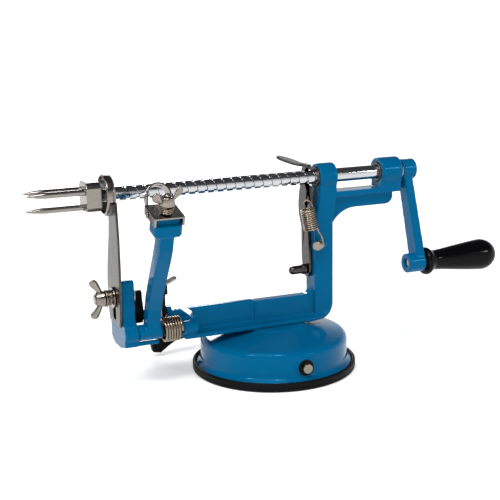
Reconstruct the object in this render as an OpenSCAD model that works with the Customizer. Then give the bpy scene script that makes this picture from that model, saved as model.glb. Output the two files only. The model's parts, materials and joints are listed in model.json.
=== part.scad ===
// Apple peeler corer: suction base, cast frame, feed screw with fork, spring peeling arm,
// slicing plate with coring ring, and a crank with a free-turning handle.
// Millimetres, +Z up, +X along the feed screw from the fork to the crank.
// Origin: centre of the suction cup's flat underside.

/* [Base] */
// outer radius of the rubber cup
cup_r = 54.4; // [45:0.1:65]
// height of the cup's rolled lip
cup_lip_h = 6; // [4:0.1:9]
// thickness of the cup's flat membrane
membrane_t = 3; // [2:0.1:5]
// outer radius of the round housing
housing_r = 48.8; // [40:0.1:60]
// height where the housing wall turns into its top
housing_h = 24.2; // [18:0.1:32]
// height of the seat under the beam
seat_z = 30.3; // [26:0.1:40]
// height of the lever's axle
axle_z = 13.5; // [11:0.1:18]

/* [Frame] */
// left end of the casting
frame_left = -106; // [-130:0.5:-80]
// thickness of the end plate that carries the slicing plate
end_t = 8.5; // [5:0.1:12]
// height of the beam above its underside
beam_h = 17.6; // [12:0.1:30]
// half width of the beam's bottom flange
flange_half = 12; // [8:0.1:16]
// thickness of the bottom flange
flange_t = 2.8; // [2:0.1:5]
// left face of the post
post_x = 27.8; // [20:0.1:40]
// thickness of the post along the beam
post_w = 13.4; // [10:0.1:20]
// half depth of the post
post_half = 7; // [5:0.1:10]
// right end of the outer boss
boss_end = 92.7; // [80:0.1:110]

/* [Spindle] */
// height of the feed screw's axis
shaft_z = 125; // [100:0.5:150]
// outer radius of the feed screw
shaft_r = 4.6; // [3.5:0.1:6]
// thread pitch
pitch = 6.35; // [4:0.05:8]
// depth of the thread groove
groove_d = 0.9; // [0.5:0.05:1.4]
// width of the groove at the surface
groove_w = 2.3; // [1.5:0.05:3]
// radius of the circle the prongs stand on
prong_pcr = 6.6; // [5:0.1:9]
// prong radius
prong_r = 1.85; // [1:0.05:2.2]

/* [Crank] */
// crank throw
crank_throw = 63.6; // [50:0.1:80]
// angle of the crank forward of straight down
crank_tilt = 14.5; // [0:0.5:60]
// length of the handle
handle_len = 57.7; // [40:0.1:80]

/* [Peeling arm] */
// axis of the arm's pivot, depth
pivot_y = -10.5; // [-16:0.1:-6]
// axis of the arm's pivot, height
pivot_z = 38.6; // [30:0.1:50]
// slope of the blade holder
holder_tilt = 16; // [0:0.5:30]

/* [Slicing plate] */
// plate thickness
plate_t = 1.5; // [1:0.1:2.5]
// inner radius of the coring ring
ring_in = 11.25; // [9:0.05:14]
// wall of the coring ring
ring_t = 1.2; // [0.8:0.05:2]

/* [Hidden] */
$fn = 72;
beam_top = seat_z + beam_h;
post_r = post_x + post_w;
blue = [0.02, 0.36, 0.6];
steel = [0.7, 0.7, 0.72];
dark = [0.08, 0.08, 0.09];
bronze = [0.45, 0.33, 0.22];
nickel = [0.75, 0.72, 0.66];
nut_x = 26.4;
bolt_x = 12;
bolt_y = 2;
bolt_z = 63.2;
foot_r = cup_r - 2.6;
crank_x = boss_end + 2.5;
handle_x = crank_x + 9.7;
turns = 22;
thread_x0 = nut_x - 21 * pitch;
screw_left = -109.2;
screw_right = 34;
holder_x = -86.4;
holder_y = -49;
holder_z = 111.4;

// ---------- helpers ----------

// solid cylinder along X between two stations
module rod_x(x0, x1, r, y = 0, z = 0) {
    translate([x0, y, z]) rotate([0, 90, 0]) cylinder(r = r, h = x1 - x0);
}

// solid cylinder along Y between two stations
module rod_y(y0, y1, r, x = 0, z = 0) {
    translate([x, y1, z]) rotate([90, 0, 0]) cylinder(r = r, h = y1 - y0);
}

// outline drawn in X and Z, given thickness along Y
module wall_xz(y0, y1) {
    translate([0, y1, 0]) rotate([90, 0, 0]) linear_extrude(height = y1 - y0) children();
}

// outline drawn in Y and Z, given thickness along X
module wall_yz(x0, x1) {
    translate([x0, 0, 0]) rotate([90, 0, 90]) linear_extrude(height = x1 - x0) children();
}

// box from corner to corner
module block(p, q) {
    translate(p) cube(q - p);
}

// points along a circular arc
function arc(cx, cy, r, a0, a1, n) =
    [for (i = [0:n]) [cx + r * cos(a0 + (a1 - a0) * i / n), cy + r * sin(a0 + (a1 - a0) * i / n)]];

// unit vector
function unit(v) = v / norm(v);

// sideways vector carried along a path without twisting
function carry(t, u) = unit(u - (u * t) * t);

// tangents of a path
function tangents(p) =
    [for (i = [0:len(p) - 1]) unit(p[min(i + 1, len(p) - 1)] - p[max(i - 1, 0)])];

// sideways vectors for every point of a path
function sides(t, u0) =
    [for (i = 0, u = carry(t[0], u0); i < len(t);
          i = i + 1, u = carry(t[min(i, len(t) - 1)], u)) u];

// round wire swept along a path
module wire(path, r, m, u0) {
    n = len(path);
    t = tangents(path);
    s = sides(t, u0);
    pts = [for (i = [0:n - 1], k = [0:m - 1])
        path[i] + r * cos(360 * k / m) * s[i] + r * sin(360 * k / m) * cross(t[i], s[i])];
    quads = [for (i = [0:n - 2], k = [0:m - 1])
        [i * m + k, (i + 1) * m + k, (i + 1) * m + (k + 1) % m, i * m + (k + 1) % m]];
    caps = [[for (k = [0:m - 1]) k], [for (k = [m - 1:-1:0]) (n - 1) * m + k]];
    polyhedron(points = pts, faces = concat(quads, caps), convexity = 10);
}

// points of a coil whose axis is +Z, starting at angle a0
function coil(r, z0, z1, n, a0, seg) =
    [for (i = [0:round(n * seg)])
        [r * cos(a0 + 360 * i / seg), r * sin(a0 + 360 * i / seg),
         z0 + (z1 - z0) * i / round(n * seg)]];

// wing nut standing on Z = 0 with its wings in the XZ plane
module wing_nut(bore, hub_r, hub_h, reach, wing_h) {
    difference() {
        union() {
            cylinder(r1 = hub_r, r2 = hub_r * 0.78, h = hub_h);
            for (s = [-1, 1]) {
                intersection() {
                    rotate([90, 0, 0]) translate([0, 0, -1.1]) linear_extrude(height = 2.2)
                        polygon([[0, hub_h * 0.25], [s * hub_r * 0.9, hub_h * 0.1],
                                 [s * reach * 0.9, wing_h * 0.45], [s * reach, wing_h * 0.75],
                                 [s * reach * 0.93, wing_h * 1.02], [s * reach * 0.78, wing_h],
                                 [s * hub_r * 0.8, hub_h * 0.85], [0, hub_h * 0.9]]);
                    cylinder(r = reach, h = wing_h * 1.1);
                }
            }
        }
        translate([0, 0, -1]) cylinder(r = bore, h = wing_h + 4);
    }
}

// ---------- base ----------

// rubber cup with a rolled lip and a flat membrane
module suction_cup() {
    color(dark) rotate_extrude() polygon(concat(
        [[0, 0], [cup_r - 1.6, 0]],
        arc(cup_r - 1.6, 1.6, 1.6, -90, 0, 6),
        arc(cup_r - 1.15, cup_lip_h - 1.15, 1.15, 0, 180, 10),
        [[cup_r - 2.3, membrane_t], [0, membrane_t]]));
}

// pressed round cover the beam stands on
module base_housing() {
    t = 1.8;
    color(blue) difference() {
        union() {
            difference() {
                rotate_extrude() polygon(concat(
                    [[housing_r - t, membrane_t + 0.02], [foot_r, membrane_t + 0.02],
                     [foot_r, 5.2], [foot_r - 0.6, 5.9], [housing_r + 1, 7.2], [housing_r, 8.8]],
                    arc(housing_r - 4.6, housing_h - 4.6, 4.6, 0, 76, 10),
                    [[22, seat_z - 1.4], [20.5, seat_z], [0, seat_z], [0, seat_z - 4.5],
                     [19, seat_z - 4.5], [housing_r - 6, housing_h - 2.6],
                     [housing_r - t - 1.2, housing_h - 5], [housing_r - t, housing_h - 8]]));
                cylinder(r = 4.1, h = 60);
            }
            for (s = [-1, 1]) rod_y(s > 0 ? 41 : -49.4, s > 0 ? 49.4 : -41, 6.5, 0, axle_z);
            for (i = [0, 1]) rotate([0, 0, 180 * i])
                translate([bolt_x, 0, 20]) cylinder(r = 4.2, h = 9);
        }
        rod_y(-60, 60, 4.41, 0, axle_z);
        for (i = [0, 1]) rotate([0, 0, 180 * i])
            translate([bolt_x, 0, 14]) cylinder(r = 2.26, h = 20);
    }
}

// two bolts that come up through the housing into the beam
module base_bolts() {
    color(steel) for (i = [0, 1]) rotate([0, 0, 180 * i]) translate([bolt_x, 0, 0]) {
        translate([0, 0, 18]) cylinder(r = 2.25, h = 19);
        difference() {
            translate([0, 0, 16.6]) cylinder(r = 3.4, h = 3.35);
            translate([0, 0, 16]) cylinder(r = 2, h = 2.2, $fn = 6);
        }
    }
}

// black rings in the housing wall that carry the axle
module axle_bushings() {
    color(dark) for (s = [0, 1]) rotate([0, 0, 180 * s]) difference() {
        union() {
            rod_y(-50.2, -42, 4.4, 0, axle_z);
            rod_y(-50.2, -49.4, 5.2, 0, axle_z);
        }
        rod_y(-60, -30, 2.85, 0, axle_z);
    }
}

// axle with an eccentric disc in the middle
module cam_axle() {
    color(steel) {
        rod_y(-51.6, 54.5, 2.8, 0, axle_z);
        rod_y(-53, -51.4, 3.1, 0, axle_z);
        rod_y(-4, 4, 4.3, 0, axle_z - 1.2);
    }
}

// stud that the eccentric lifts to draw the cup up
module pull_stud() {
    color(dark) difference() {
        union() {
            translate([0, 0, membrane_t + 0.2]) cylinder(r = 12, h = 2);
            block([-7.4, -5.4, membrane_t + 1], [7.4, 5.4, 18.4]);
        }
        block([-6, -20, 6.5], [6, 20, 16.95]);
    }
}

// flat steel lever, outline in X and Z
module lever_outline() {
    polygon([[3, axle_z + 4], [-6, axle_z + 4.6], [-30, axle_z + 6.6], [-46, axle_z + 6.4],
             [-56, axle_z + 3.4], [-63, axle_z - 1.4], [-67.4, axle_z - 5.4],
             [-67, axle_z - 8.2], [-63.4, axle_z - 8.8], [-58, axle_z - 5], [-52, axle_z - 1.6],
             [-45, axle_z - 0.6], [-30, axle_z - 0.8], [-6, axle_z - 4], [3, axle_z - 4]]);
}

// lever that turns the axle
module suction_lever() {
    color(steel) difference() {
        union() {
            wall_xz(51, 53.6) offset(r = 0.8) offset(delta = -0.8) lever_outline();
            rod_y(50.7, 54.2, 5.8, 0, axle_z);
        }
        rod_y(40, 60, 2.81, 0, axle_z);
    }
}

// soft grip over the end of the lever
module lever_grip() {
    color(dark) difference() {
        wall_xz(49.6, 55) offset(r = 1.3) offset(delta = 0.4) intersection() {
            lever_outline();
            translate([-100, 0]) square([62, 40]);
        }
        wall_xz(50.95, 53.65) offset(r = 0.85) offset(delta = -0.8) lever_outline();
    }
}

// ---------- casting ----------

// web and gusset outline of beam, post and upper arm
module web_outline() {
    polygon(concat(
        [[-70.6, seat_z + 1], [-70.6, beam_top - 3], [-69.4, beam_top - 0.9], [-67, beam_top]],
        [[-15.5, beam_top], [-14.5, beam_top - 0.9]],
        arc(post_x - 6, beam_top + 5.1, 6, -90, 0, 8),
        [[post_x + 4, 110], [post_r - 2, 112], [88.6, 112]],
        arc(83, 108.6, 5.6, 30, -90, 10),
        [[60, 103]],
        arc(60, 83, 20, 90, 180, 12),
        [[post_r - 3, 70], [post_r - 3, seat_z + 1]]));
}

// one piece frame: end plate, beam, post, upper arm and bosses
module cast_frame() {
    color(blue) difference() {
        union() {
            // thin web with the gusset
            wall_xz(-2.2, 2.2) web_outline();
            wall_xz(-3.4, 3.4) intersection() {
                web_outline();
                translate([post_x - 7, beam_top - 0.9]) square([100, 100]);
            }
            wall_xz(-3.6, 3.6) polygon([[-14.5, seat_z + 1], [-14.5, beam_top - 0.9],
                [post_x + 1, beam_top - 0.9], [post_x + 1, seat_z + 1]]);
            // bottom flange, narrower in front of the arm's spring
            block([frame_left + 3, -flange_half, seat_z], [-83.5, flange_half, seat_z + flange_t]);
            block([-84, -1.6, seat_z], [-65.4, flange_half, seat_z + flange_t]);
            intersection() {
                union() {
                    block([-66, -flange_half, seat_z], [31, flange_half, seat_z + flange_t]);
                    // outer corner where the flange turns up into the post
                    wall_xz(-flange_half, flange_half) polygon(concat(
                        [[post_x + 2, seat_z]],
                        arc(post_r - 10, seat_z + 10, 10, -90, 0, 12),
                        [[post_r, seat_z + 16], [post_r - 2.6, seat_z + 16]],
                        arc(post_r - 10, seat_z + 10, 7.2, 0, -90, 12),
                        [[post_x + 2, seat_z + flange_t]]));
                }
                // plan narrows towards the post
                translate([0, 0, seat_z - 1]) linear_extrude(height = 20)
                    polygon([[-80, -flange_half], [24, -flange_half], [post_r, -post_half],
                             [post_r, post_half], [24, flange_half], [-80, flange_half]]);
            }
            // post
            wall_xz(-post_half, post_half) polygon([[post_x, seat_z + 1], [post_x, 92],
                [31.8, 112], [31.8, 118], [44, 118], [44, 113], [post_r, 96],
                [post_r, seat_z + 12], [post_r - 3, seat_z + 3]]);
            // upper arm's top flange
            block([36, -post_half, 111.4], [boss_end, post_half, 115]);
            // screw bosses
            rod_x(31.8, 44, 8.8, 0, shaft_z);
            block([31.8, -7, 112], [44, 7, shaft_z + 2]);
            rod_x(77.5, boss_end, 9.4, 0, shaft_z);
            block([77.5, -7, 112], [boss_end, 7, shaft_z]);
            // end plate
            wall_yz(frame_left, frame_left + end_t) polygon([[-14, seat_z + 0.6], [-3, 28],
                [11, 28], [16.5, 31], [16.5, 42], [11, 47], [11, 60], [4, 68.5], [-6, 72.2],
                [-8.6, 72.4], [-10.4, 71], [-10.4, 46.5], [-15, 44.5]]);
            rod_x(frame_left, frame_left + end_t + 0.4, 5.6, pivot_y, pivot_z);
            // lug for the right end of the arm's pivot
            rod_x(-67.6, -57.5, 4.3, pivot_y, pivot_z - 0.5);
            block([-67.6, pivot_y, seat_z + 1], [-57.5, 0, pivot_z + 3.2]);
            rod_x(-61.6, -57.2, 1.8, pivot_y + 2, pivot_z + 4);
            // ears for the latch pin
            wall_yz(-73.6, -70.4) polygon([[-1.2, seat_z + 1], [-1.2, 46.4], [0.8, 49.6],
                [5, 49.6], [7, 46.4], [7, seat_z + 1]]);
            wall_xz(-2.2, 6) polygon([[-73, seat_z + 1], [-73, 41], [-66, 43], [-66, seat_z + 1]]);
            // seat of the spring's screw on the corner of the post
            at_anchor() translate([0, 0, -5]) cylinder(r = 2.7, h = 6);
        }
        rod_x(20, 60, 6.36, 0, shaft_z);
        rod_x(70, 110, 6.36, 0, shaft_z);
        rod_x(frame_left + 1.5, -50, 2.51, pivot_y, pivot_z);
        rod_x(-120, -90, 3.01, 0, 60.5);
        rod_x(-104, -70, 1.76, 3, 46);
        rod_x(20, 39.3, 2.51, bolt_y, bolt_z);
        at_anchor() translate([0, 0, -8.4]) cylinder(r = 1.51, h = 14);
        for (i = [0, 1]) rotate([0, 0, 180 * i])
            translate([bolt_x, 0, 20]) cylinder(r = 2.26, h = 18);
        // clearance slot between the web and the lug
        translate([-60.5, 0, 46]) rotate([0, 40, 0]) translate([-5, -6, -1.4]) cube([9.4, 12, 2.8]);
    }
}

// place something on the slanting axis of the spring's screw, local Z pointing outwards
module at_anchor() {
    translate([31, -8.5, 81.5]) rotate([0, 90, 225]) children();
}

// bronze sleeve in the post
module post_bushing() {
    color(bronze) difference() {
        rod_x(31.2, 44.6, 6.35, 0, shaft_z);
        rod_x(20, 60, shaft_r + 0.06, 0, shaft_z);
    }
}

// bronze sleeve in the outer boss
module outer_bushing() {
    color(bronze) difference() {
        rod_x(76.9, boss_end + 0.4, 6.35, 0, shaft_z);
        rod_x(70, 110, shaft_r + 0.06, 0, shaft_z);
    }
}

// ---------- spindle ----------

// thread whose groove runs out to nothing at both ends
module feed_screw() {
    cols = 20;
    per = 4;
    // radius at the groove's floor, tapered over the first and last half turn
    function floor_r(s) = shaft_r - groove_d * min(1, max(0, 2 * s), max(0, 2 * (turns - s)));
    function ring(j) = let(a = 360 * j / cols) concat(
        [[screw_left, shaft_r * cos(a), shaft_r * sin(a)]],
        [for (k = [0:turns - 1], q = [0:per - 1])
            let(s = k + j / cols, x = thread_x0 + pitch * s,
                dx = q == 0 ? -groove_w / 2 : q == 1 ? -groove_w * 0.37
                   : q == 2 ? groove_w * 0.37 : groove_w / 2,
                r = (q == 1 || q == 2) ? floor_r(s) : shaft_r)
            [x + dx, r * cos(a), r * sin(a)]],
        [[screw_right, shaft_r * cos(a), shaft_r * sin(a)]]);
    m = turns * per + 2;
    pts = [for (j = [0:cols - 1]) each ring(j)];
    flat = [for (j = [0:cols - 2], i = [0:m - 2]) each
        [[j * m + i, (j + 1) * m + i, (j + 1) * m + i + 1],
         [j * m + i, (j + 1) * m + i + 1, j * m + i + 1]]];
    z = (cols - 1) * m;
    left = [for (i = [0:per]) [z, i, i + 1]];
    seam = [for (i = [1:m - 2 - per]) each
        [[z + i, i + per, i + per + 1], [z + i, i + per + 1, z + i + 1]]];
    right = [for (i = [m - 1 - per:m - 2]) [z + i, m - 1, z + i + 1]];
    joint = [[z, per + 1, z + 1]];
    lcap = [[for (j = [cols - 1:-1:0]) j * m]];
    rcap = [[for (j = [0:cols - 1]) j * m + m - 1]];
    color(steel) translate([0, 0, shaft_z])
        polyhedron(points = pts, faces = concat(flat, left, joint, seam, right, lcap, rcap),
                   convexity = 10);
}

// plain ends of the screw: the right journal to the crank and the short left one
module crank_shaft() {
    color(steel) {
        rod_x(screw_right, crank_x + 10.6, shaft_r, 0, shaft_z);
        rod_x(-119, screw_left, shaft_r, 0, shaft_z);
    }
}

// washer that rides on the screw against the crank
module thrust_washer() {
    color(steel) difference() {
        rod_x(boss_end + 1.4, boss_end + 2.4, 6.4, 0, shaft_z);
        rod_x(90, 100, shaft_r + 0.06, 0, shaft_z);
    }
}

// block that holds the prongs
module fork_block() {
    color(steel) difference() {
        intersection() {
            rod_x(-123.6, -114.3, 10.8, 0, shaft_z);
            block([-130, -9.2, shaft_z - 8.9], [-110, 9.2, shaft_z + 8.9]);
        }
        rod_x(-119, -110, shaft_r + 0.01, 0, shaft_z);
        for (i = [0:2]) rotate_about_screw(30 + 120 * i)
            rod_x(-140, -118, prong_r + 0.01, prong_pcr, 0);
    }
}

// turn about the screw's axis
module rotate_about_screw(a) {
    translate([0, 0, shaft_z]) rotate([a, 0, 0]) children();
}

// three pointed prongs
module fork_prongs() {
    color(steel) for (i = [0:2]) rotate_about_screw(30 + 120 * i) {
        translate([-118, prong_pcr, 0]) rotate([0, -90, 0]) rotate_extrude()
            polygon([[0, 0], [prong_r, 0], [prong_r, 30], [prong_r * 0.72, 35],
                     [prong_r * 0.3, 39.4], [0, 40.6]]);
    }
}

// place something at the crank's angle
module at_crank() {
    translate([0, 0, shaft_z]) rotate([-crank_tilt, 0, 0]) children();
}

// cast crank: hub, tapered arm and lower boss
module crank_arm() {
    d = crank_throw;
    color(blue) at_crank() difference() {
        union() {
            rod_x(crank_x, crank_x + 10, 7, 0, 0);
            intersection() {
                wall_yz(90, 110) polygon([[-4.6, 0], [4.6, 0], [5.9, -d], [-5.9, -d]]);
                // the arm leans outwards towards the handle
                wall_xz(-8, 8) polygon([[crank_x + 0.6, 0], [crank_x + 6.8, 0],
                    [crank_x + 9.2, -d], [crank_x + 3, -d]]);
            }
            rod_x(91.9, crank_x + 9.2, 6.6, 0, -d);
        }
        rod_x(90, 120, shaft_r + 0.01, 0, 0);
        rod_x(80, 120, 3.01, 0, -d);
        translate([crank_x + 5.1, 0, 4]) cylinder(r = 1.76, h = 10);
    }
}

// set screw that holds the crank on the shaft
module crank_set_screw() {
    color(dark) at_crank() difference() {
        translate([crank_x + 5.1, 0, shaft_r + 0.06]) cylinder(r = 1.75, h = 2);
        translate([crank_x + 5.1, 0, 5.8]) cylinder(r = 0.9, h = 3, $fn = 6);
    }
}

// pin the handle turns on
module handle_pin() {
    color(steel) at_crank() {
        rod_x(93.4, handle_x + 50.3, 3, 0, -crank_throw);
        rod_x(handle_x + 50.3, handle_x + 51.7, 4.4, 0, -crank_throw);
    }
}

// turned handle
module crank_handle() {
    color(dark) at_crank() translate([handle_x, 0, -crank_throw]) rotate([0, 90, 0]) difference() {
        rotate_extrude() polygon(concat(
            [[0, 0], [7.2, 0], [8.9, 0.9], [9.4, 2.4], [9.1, 4], [7.9, 5.6], [7, 7.4],
             [6.8, 9.6], [7.1, 14], [7.8, 20], [8.7, 27], [9.6, 34], [10.3, 40], [10.6, 44.5]],
            [for (a = [10:10:90]) [10.6 * cos(a), 46.2 + (handle_len - 46.2) * sin(a)]]));
        translate([0, 0, -1]) cylinder(r = 3.06, h = handle_len - 5);
        translate([0, 0, 49.9]) cylinder(r = 4.6, h = 3.2);
    }
}

// ---------- release lever ----------

// steel lever with a tooth in the thread, a hook hole and a thumb tab
module release_lever() {
    color(steel) {
        difference() {
            union() {
                wall_yz(25.4, 27.4) offset(r = 1) offset(delta = -1) polygon(concat(
                    arc(bolt_y, bolt_z, 5.2, 180, 360, 14),
                    [[8.6, 71], [9, 91], [12.6, 99], [13.4, 106], [12, 114], [9.6, 121],
                     [8.8, 128], [6, 133.6], [-3.2, 133.6], [-3.2, 130.3], [0, 130.3], [0, 120.4],
                     [-4.2, 118.8], [-5.6, 108], [-4.2, 98.5], [-0.6, 92], [-3.4, 70]]));
                translate([26.2, 0, 131.6]) rotate([12, 18, 0]) {
                    block([-8, -2.4, 0], [-0.4, 2.4, 1.6]);
                    linear_extrude(height = 1.6) polygon([for (a = [0:12:348])
                        [-14.2 + 9.4 * cos(a), 5.8 * sin(a)]]);
                }
            }
            rod_x(20, 30, 5.15, 0, shaft_z);
            rod_x(20, 30, 2.57, bolt_y, bolt_z);
            rod_x(20, 30, 1.7, 1.2, 106.8);
        }
        block([nut_x - 0.55, 3.95, shaft_z - 1.1], [nut_x + 0.55, 6, shaft_z + 1.1]);
    }
}

// shouldered bolt the release lever swings on
module release_bolt() {
    color(steel) {
        rod_x(20, 39, 2.5, bolt_y, bolt_z);
        rod_x(15.8, 22.4, 2.85, bolt_y, bolt_z);
        rod_x(22.4, 24.9, 3.5, bolt_y, bolt_z);
        translate([15.8, bolt_y, bolt_z]) sphere(r = 2.85);
    }
}

// extension spring between the lever's hook hole and the screw on the post
module release_spring() {
    a = [19.9, -12, 106.5];
    b = [23.1, -11, 92.6];
    ax = unit(b - a);
    sx = carry(ax, [1, 0, 0]);
    sy = cross(ax, sx);
    body = [for (p = coil(4.3, 0, norm(b - a), 9, 0, 16)) a + p[0] * sx + p[1] * sy + p[2] * ax];
    top = [[28.2, 1.2, 106.8], [25.2, 1.2, 106.9], [23.9, 0.4, 107.9], [23.4, -1.4, 109.6],
           [23.5, -4, 110.8], [23.9, -7, 110.8], [24.3, -9.8, 109.2]];
    low = [[28.4, -11.2, 90.4], [29.9, -11.7, 88], [30.7, -12.1, 85.2], [30.75, -12.21, 82.4],
           [30.6, -12.07, 80.2], [29.3, -10.8, 78.9], [27.6, -9.1, 79.8]];
    color(nickel) wire(concat(top, body, low), 0.55, 6, [0, 1, 0]);
}

// screw on the post that anchors the spring
module spring_screw() {
    color(nickel) at_anchor() {
        translate([0, 0, -8]) cylinder(r = 1.5, h = 13);
        translate([0, 0, 1.05]) cylinder(r = 3.1, h = 0.9);
        translate([0, 0, 4.6]) cylinder(r = 3.1, h = 2.3);
    }
}

// ---------- peeling arm ----------

// rod through the end plate, the arm's hub and the lug
module pivot_rod() {
    color(steel) rod_x(frame_left + 1.8, -58, 2.5, pivot_y, pivot_z);
}

// spring wound round the pivot rod
module torsion_spring() {
    body = [for (p = coil(7.1, 0, 10.6, 6.25, 90, 18))
        [-80.2 + p[2], pivot_y + p[0], pivot_z + p[1]]];
    lead = [[-81.9, pivot_y - 3.5, pivot_z + 19], [-81.8, pivot_y - 2.4, pivot_z + 14],
            [-81.2, pivot_y - 1.2, pivot_z + 9]];
    color(nickel) wire(concat(lead, body), 0.8, 8, [0, 1, 0]);
}

// arm outline in Y and Z, from the hub up to the block
module arm_outline() {
    polygon([[-15.6, 38], [-16, 46], [-18.2, 54], [-22.4, 62], [-28, 70.6], [-34.4, 80],
             [-40, 88], [-45, 96], [-48.6, 106.4], [-38, 110], [-36, 101], [-31.4, 93],
             [-24.4, 82], [-17.6, 71], [-12.6, 62], [-9, 53], [-6.4, 46], [-5.4, 38]]);
}

// tilt something with the blade holder; local Y runs up the slope towards the back
module at_holder() {
    translate([holder_x, holder_y, holder_z]) rotate([holder_tilt, 0, 0]) children();
}

// cast arm with a hub below and the holder's block above
module peeler_arm() {
    color(blue) difference() {
        union() {
            wall_yz(-91.6, -82.9) offset(r = 1.5) offset(delta = -1.5) arm_outline();
            rod_x(-96.8, -81.4, 5, pivot_y, pivot_z);
            at_holder() translate([0, 0, -6.4]) linear_extrude(height = 7)
                polygon([[-8.6, 0.8], [-6.4, -1.4], [6.4, -1.4], [8.6, 0.8],
                         [8.6, 10.2], [6.4, 12.4], [-6.4, 12.4], [-8.6, 10.2]]);
            at_holder() block([-7.6, 2.2, -1], [7.6, 9, 5]);
        }
        rod_x(-110, -70, 2.56, pivot_y, pivot_z);
        at_holder() translate([0, 5.4, -8]) cylinder(r = 2.01, h = 20);
    }
}

// folded steel channel over the block
module blade_holder() {
    color(steel) at_holder() difference() {
        union() {
            block([-9.2, -0.8, 5.1], [9.2, 18.6, 6.2]);
            for (s = [0, 1]) mirror([s, 0, 0]) block([7.9, -0.8, 0.8], [9.2, 18.6, 6.2]);
        }
        translate([0, 5.4, 0]) cylinder(r = 2.4, h = 20);
        for (s = [0, 1]) mirror([s, 0, 0]) rod_x(5, 12, 1.21, 12, 3);
    }
}

// arched blade behind the channel, with a leg riveted inside each flange
module peeling_blade() {
    color(steel) at_holder() {
        difference() {
            union() {
                for (s = [0, 1]) mirror([s, 0, 0])
                    wall_yz(6.7, 7.6) polygon([[9.4, 0.9], [9.4, 4.9], [18.7, 4.9],
                        [19.52, 11.6], [25.27, 6.95], [20.4, 1.2], [17, 0.6]]);
                translate([0, 22.4, 9.3]) rotate([-39, 0, 0]) difference() {
                    translate([0, 3.7, 0]) rotate([90, 0, 0]) difference() {
                        cylinder(r = 7.6, h = 7.4);
                        translate([0, 0, -1]) cylinder(r = 6.7, h = 10);
                    }
                    block([-10, -10, -10], [10, 10, -0.05]);
                    // peeling slit beside the sharpened edge
                    translate([-3.6, -1.2, 5]) cube([7.2, 1.5, 4]);
                }
            }
            for (s = [0, 1]) mirror([s, 0, 0]) rod_x(5, 12, 1.21, 12, 3);
        }
    }
}

// rivets through the flanges and the blade's legs
module blade_rivets() {
    color(nickel) at_holder() for (s = [0, 1]) mirror([s, 0, 0]) {
        rod_x(6.7, 9.3, 1.2, 12, 3);
        rod_x(9.25, 10, 1.9, 12, 3);
    }
}

// screw standing in the block
module blade_screw() {
    color(nickel) at_holder() translate([0, 5.4, -4]) cylinder(r = 2, h = 22.4);
}

// small spring that presses the channel down
module blade_spring() {
    color(nickel) at_holder() translate([0, 5.4, 6.9])
        wire(coil(3.4, 0, 4, 3, 30, 16), 0.55, 6, [0, 0, 1]);
}

// wing nut over the small spring
module blade_wing_nut() {
    color(nickel) at_holder() translate([0, 5.4, 11.7]) rotate([0, 0, 22])
        wing_nut(2.06, 4.6, 5.4, 12, 10.4);
}

// ---------- slicing plate ----------

// plate with a clamp slot, its front edge ground thin, narrowing up to the ring
module corer_plate() {
    color(steel) difference() {
        union() {
            wall_yz(-107.9, -107.9 + plate_t) polygon([[-11, 43.6], [11.6, 43.6], [13.4, 52],
                [13.8, 60], [13, 72], [9.4, 86], [5.4, 98], [3.4, 108], [3, 114.6], [-4, 116.6],
                [-13, 122], [-13.8, 112], [-14.6, 100], [-14.4, 82], [-13.2, 62], [-12, 50]]);
            wall_yz(-110.4, -107.9) polygon([[-13.2, 121], [-13.4, 116],
                [-8, 113.6], [-3, 112.2], [2, 111.6], [1, 114.6]]);
        }
        rod_x(-130, -100, ring_in + ring_t + 0.01, 0, shaft_z);
        translate([0, 0, 49.5]) rod_x(-120, -100, 3.3, 0, 0);
        translate([0, 0, 63.5]) rod_x(-120, -100, 3.3, 0, 0);
        block([-120, -3.3, 49.5], [-100, 3.3, 63.5]);
    }
}

// coring ring, sharpened towards the apple
module corer_ring() {
    color(steel) translate([-111.9, 0, shaft_z]) rotate([0, 90, 0]) rotate_extrude()
        polygon([[ring_in, 0], [ring_in + ring_t, 0.5], [ring_in + ring_t, 4.5],
                 [ring_in + 0.25, 5.5], [ring_in, 5.5]]);
}

// square-necked bolt through the end plate
module corer_bolt() {
    color(nickel) {
        rod_x(-120.4, -96, 3, 0, 60.5);
        rod_x(-97.45, -95.1, 6, 0, 60.5);
    }
}

// washers on both sides of the clamp spring
module corer_washers() {
    color(nickel) {
        difference() {
            rod_x(-109.3, -108.2, 6.6, 0, 60.5);
            rod_x(-120, -100, 3.05, 0, 60.5);
        }
        difference() {
            rod_x(-113.5, -112.6, 5.6, 0, 60.5);
            rod_x(-120, -100, 3.05, 0, 60.5);
        }
    }
}

// clamp spring
module corer_spring() {
    color(nickel) translate([-112.0, 0, 60.5]) rotate([0, 90, 0])
        wire(coil(4.5, 0, 2.1, 2, 0, 16), 0.5, 6, [0, 0, 1]);
}

// wing nut of the slicing plate
module corer_wing_nut() {
    color(nickel) translate([-113.9, 0, 60.5]) rotate([0, -90, 0])
        wing_nut(3.06, 5.2, 5.6, 13.4, 10);
}

// ---------- arm latch ----------

// pin the latch turns on
module latch_pin() {
    color(steel) rod_x(-102, -70.6, 1.75, 3, 46);
}

// rocker with a rounded hook on the left and a finger on the right
module arm_latch() {
    color(dark) difference() {
        union() {
            rod_x(-97, -74.1, 3.2, 3, 46);
            wall_yz(-94.7, -89.5) union() {
                polygon([[-1.4, 46], [-1.6, 52], [0.2, 56.4], [0.6, 60], [5.4, 60], [5.4, 56],
                         [8, 52], [7.6, 45], [5, 41.4], [1, 41.4]]);
                translate([3, 60]) circle(r = 2.4);
            }
            wall_yz(-77.2, -74.2) polygon([[0.6, 46], [1, 60], [5, 60], [5.4, 46]]);
            block([-77.2, 1, 57.6], [-72.4, 5, 60.4]);
            wall_xz(1, 5) polygon([[-75.2, 57.6], [-72.4, 57.6], [-72.4, 64.22], [-75.2, 62.98]]);
        }
        rod_x(-100, -70, 1.81, 3, 46);
    }
}

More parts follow.
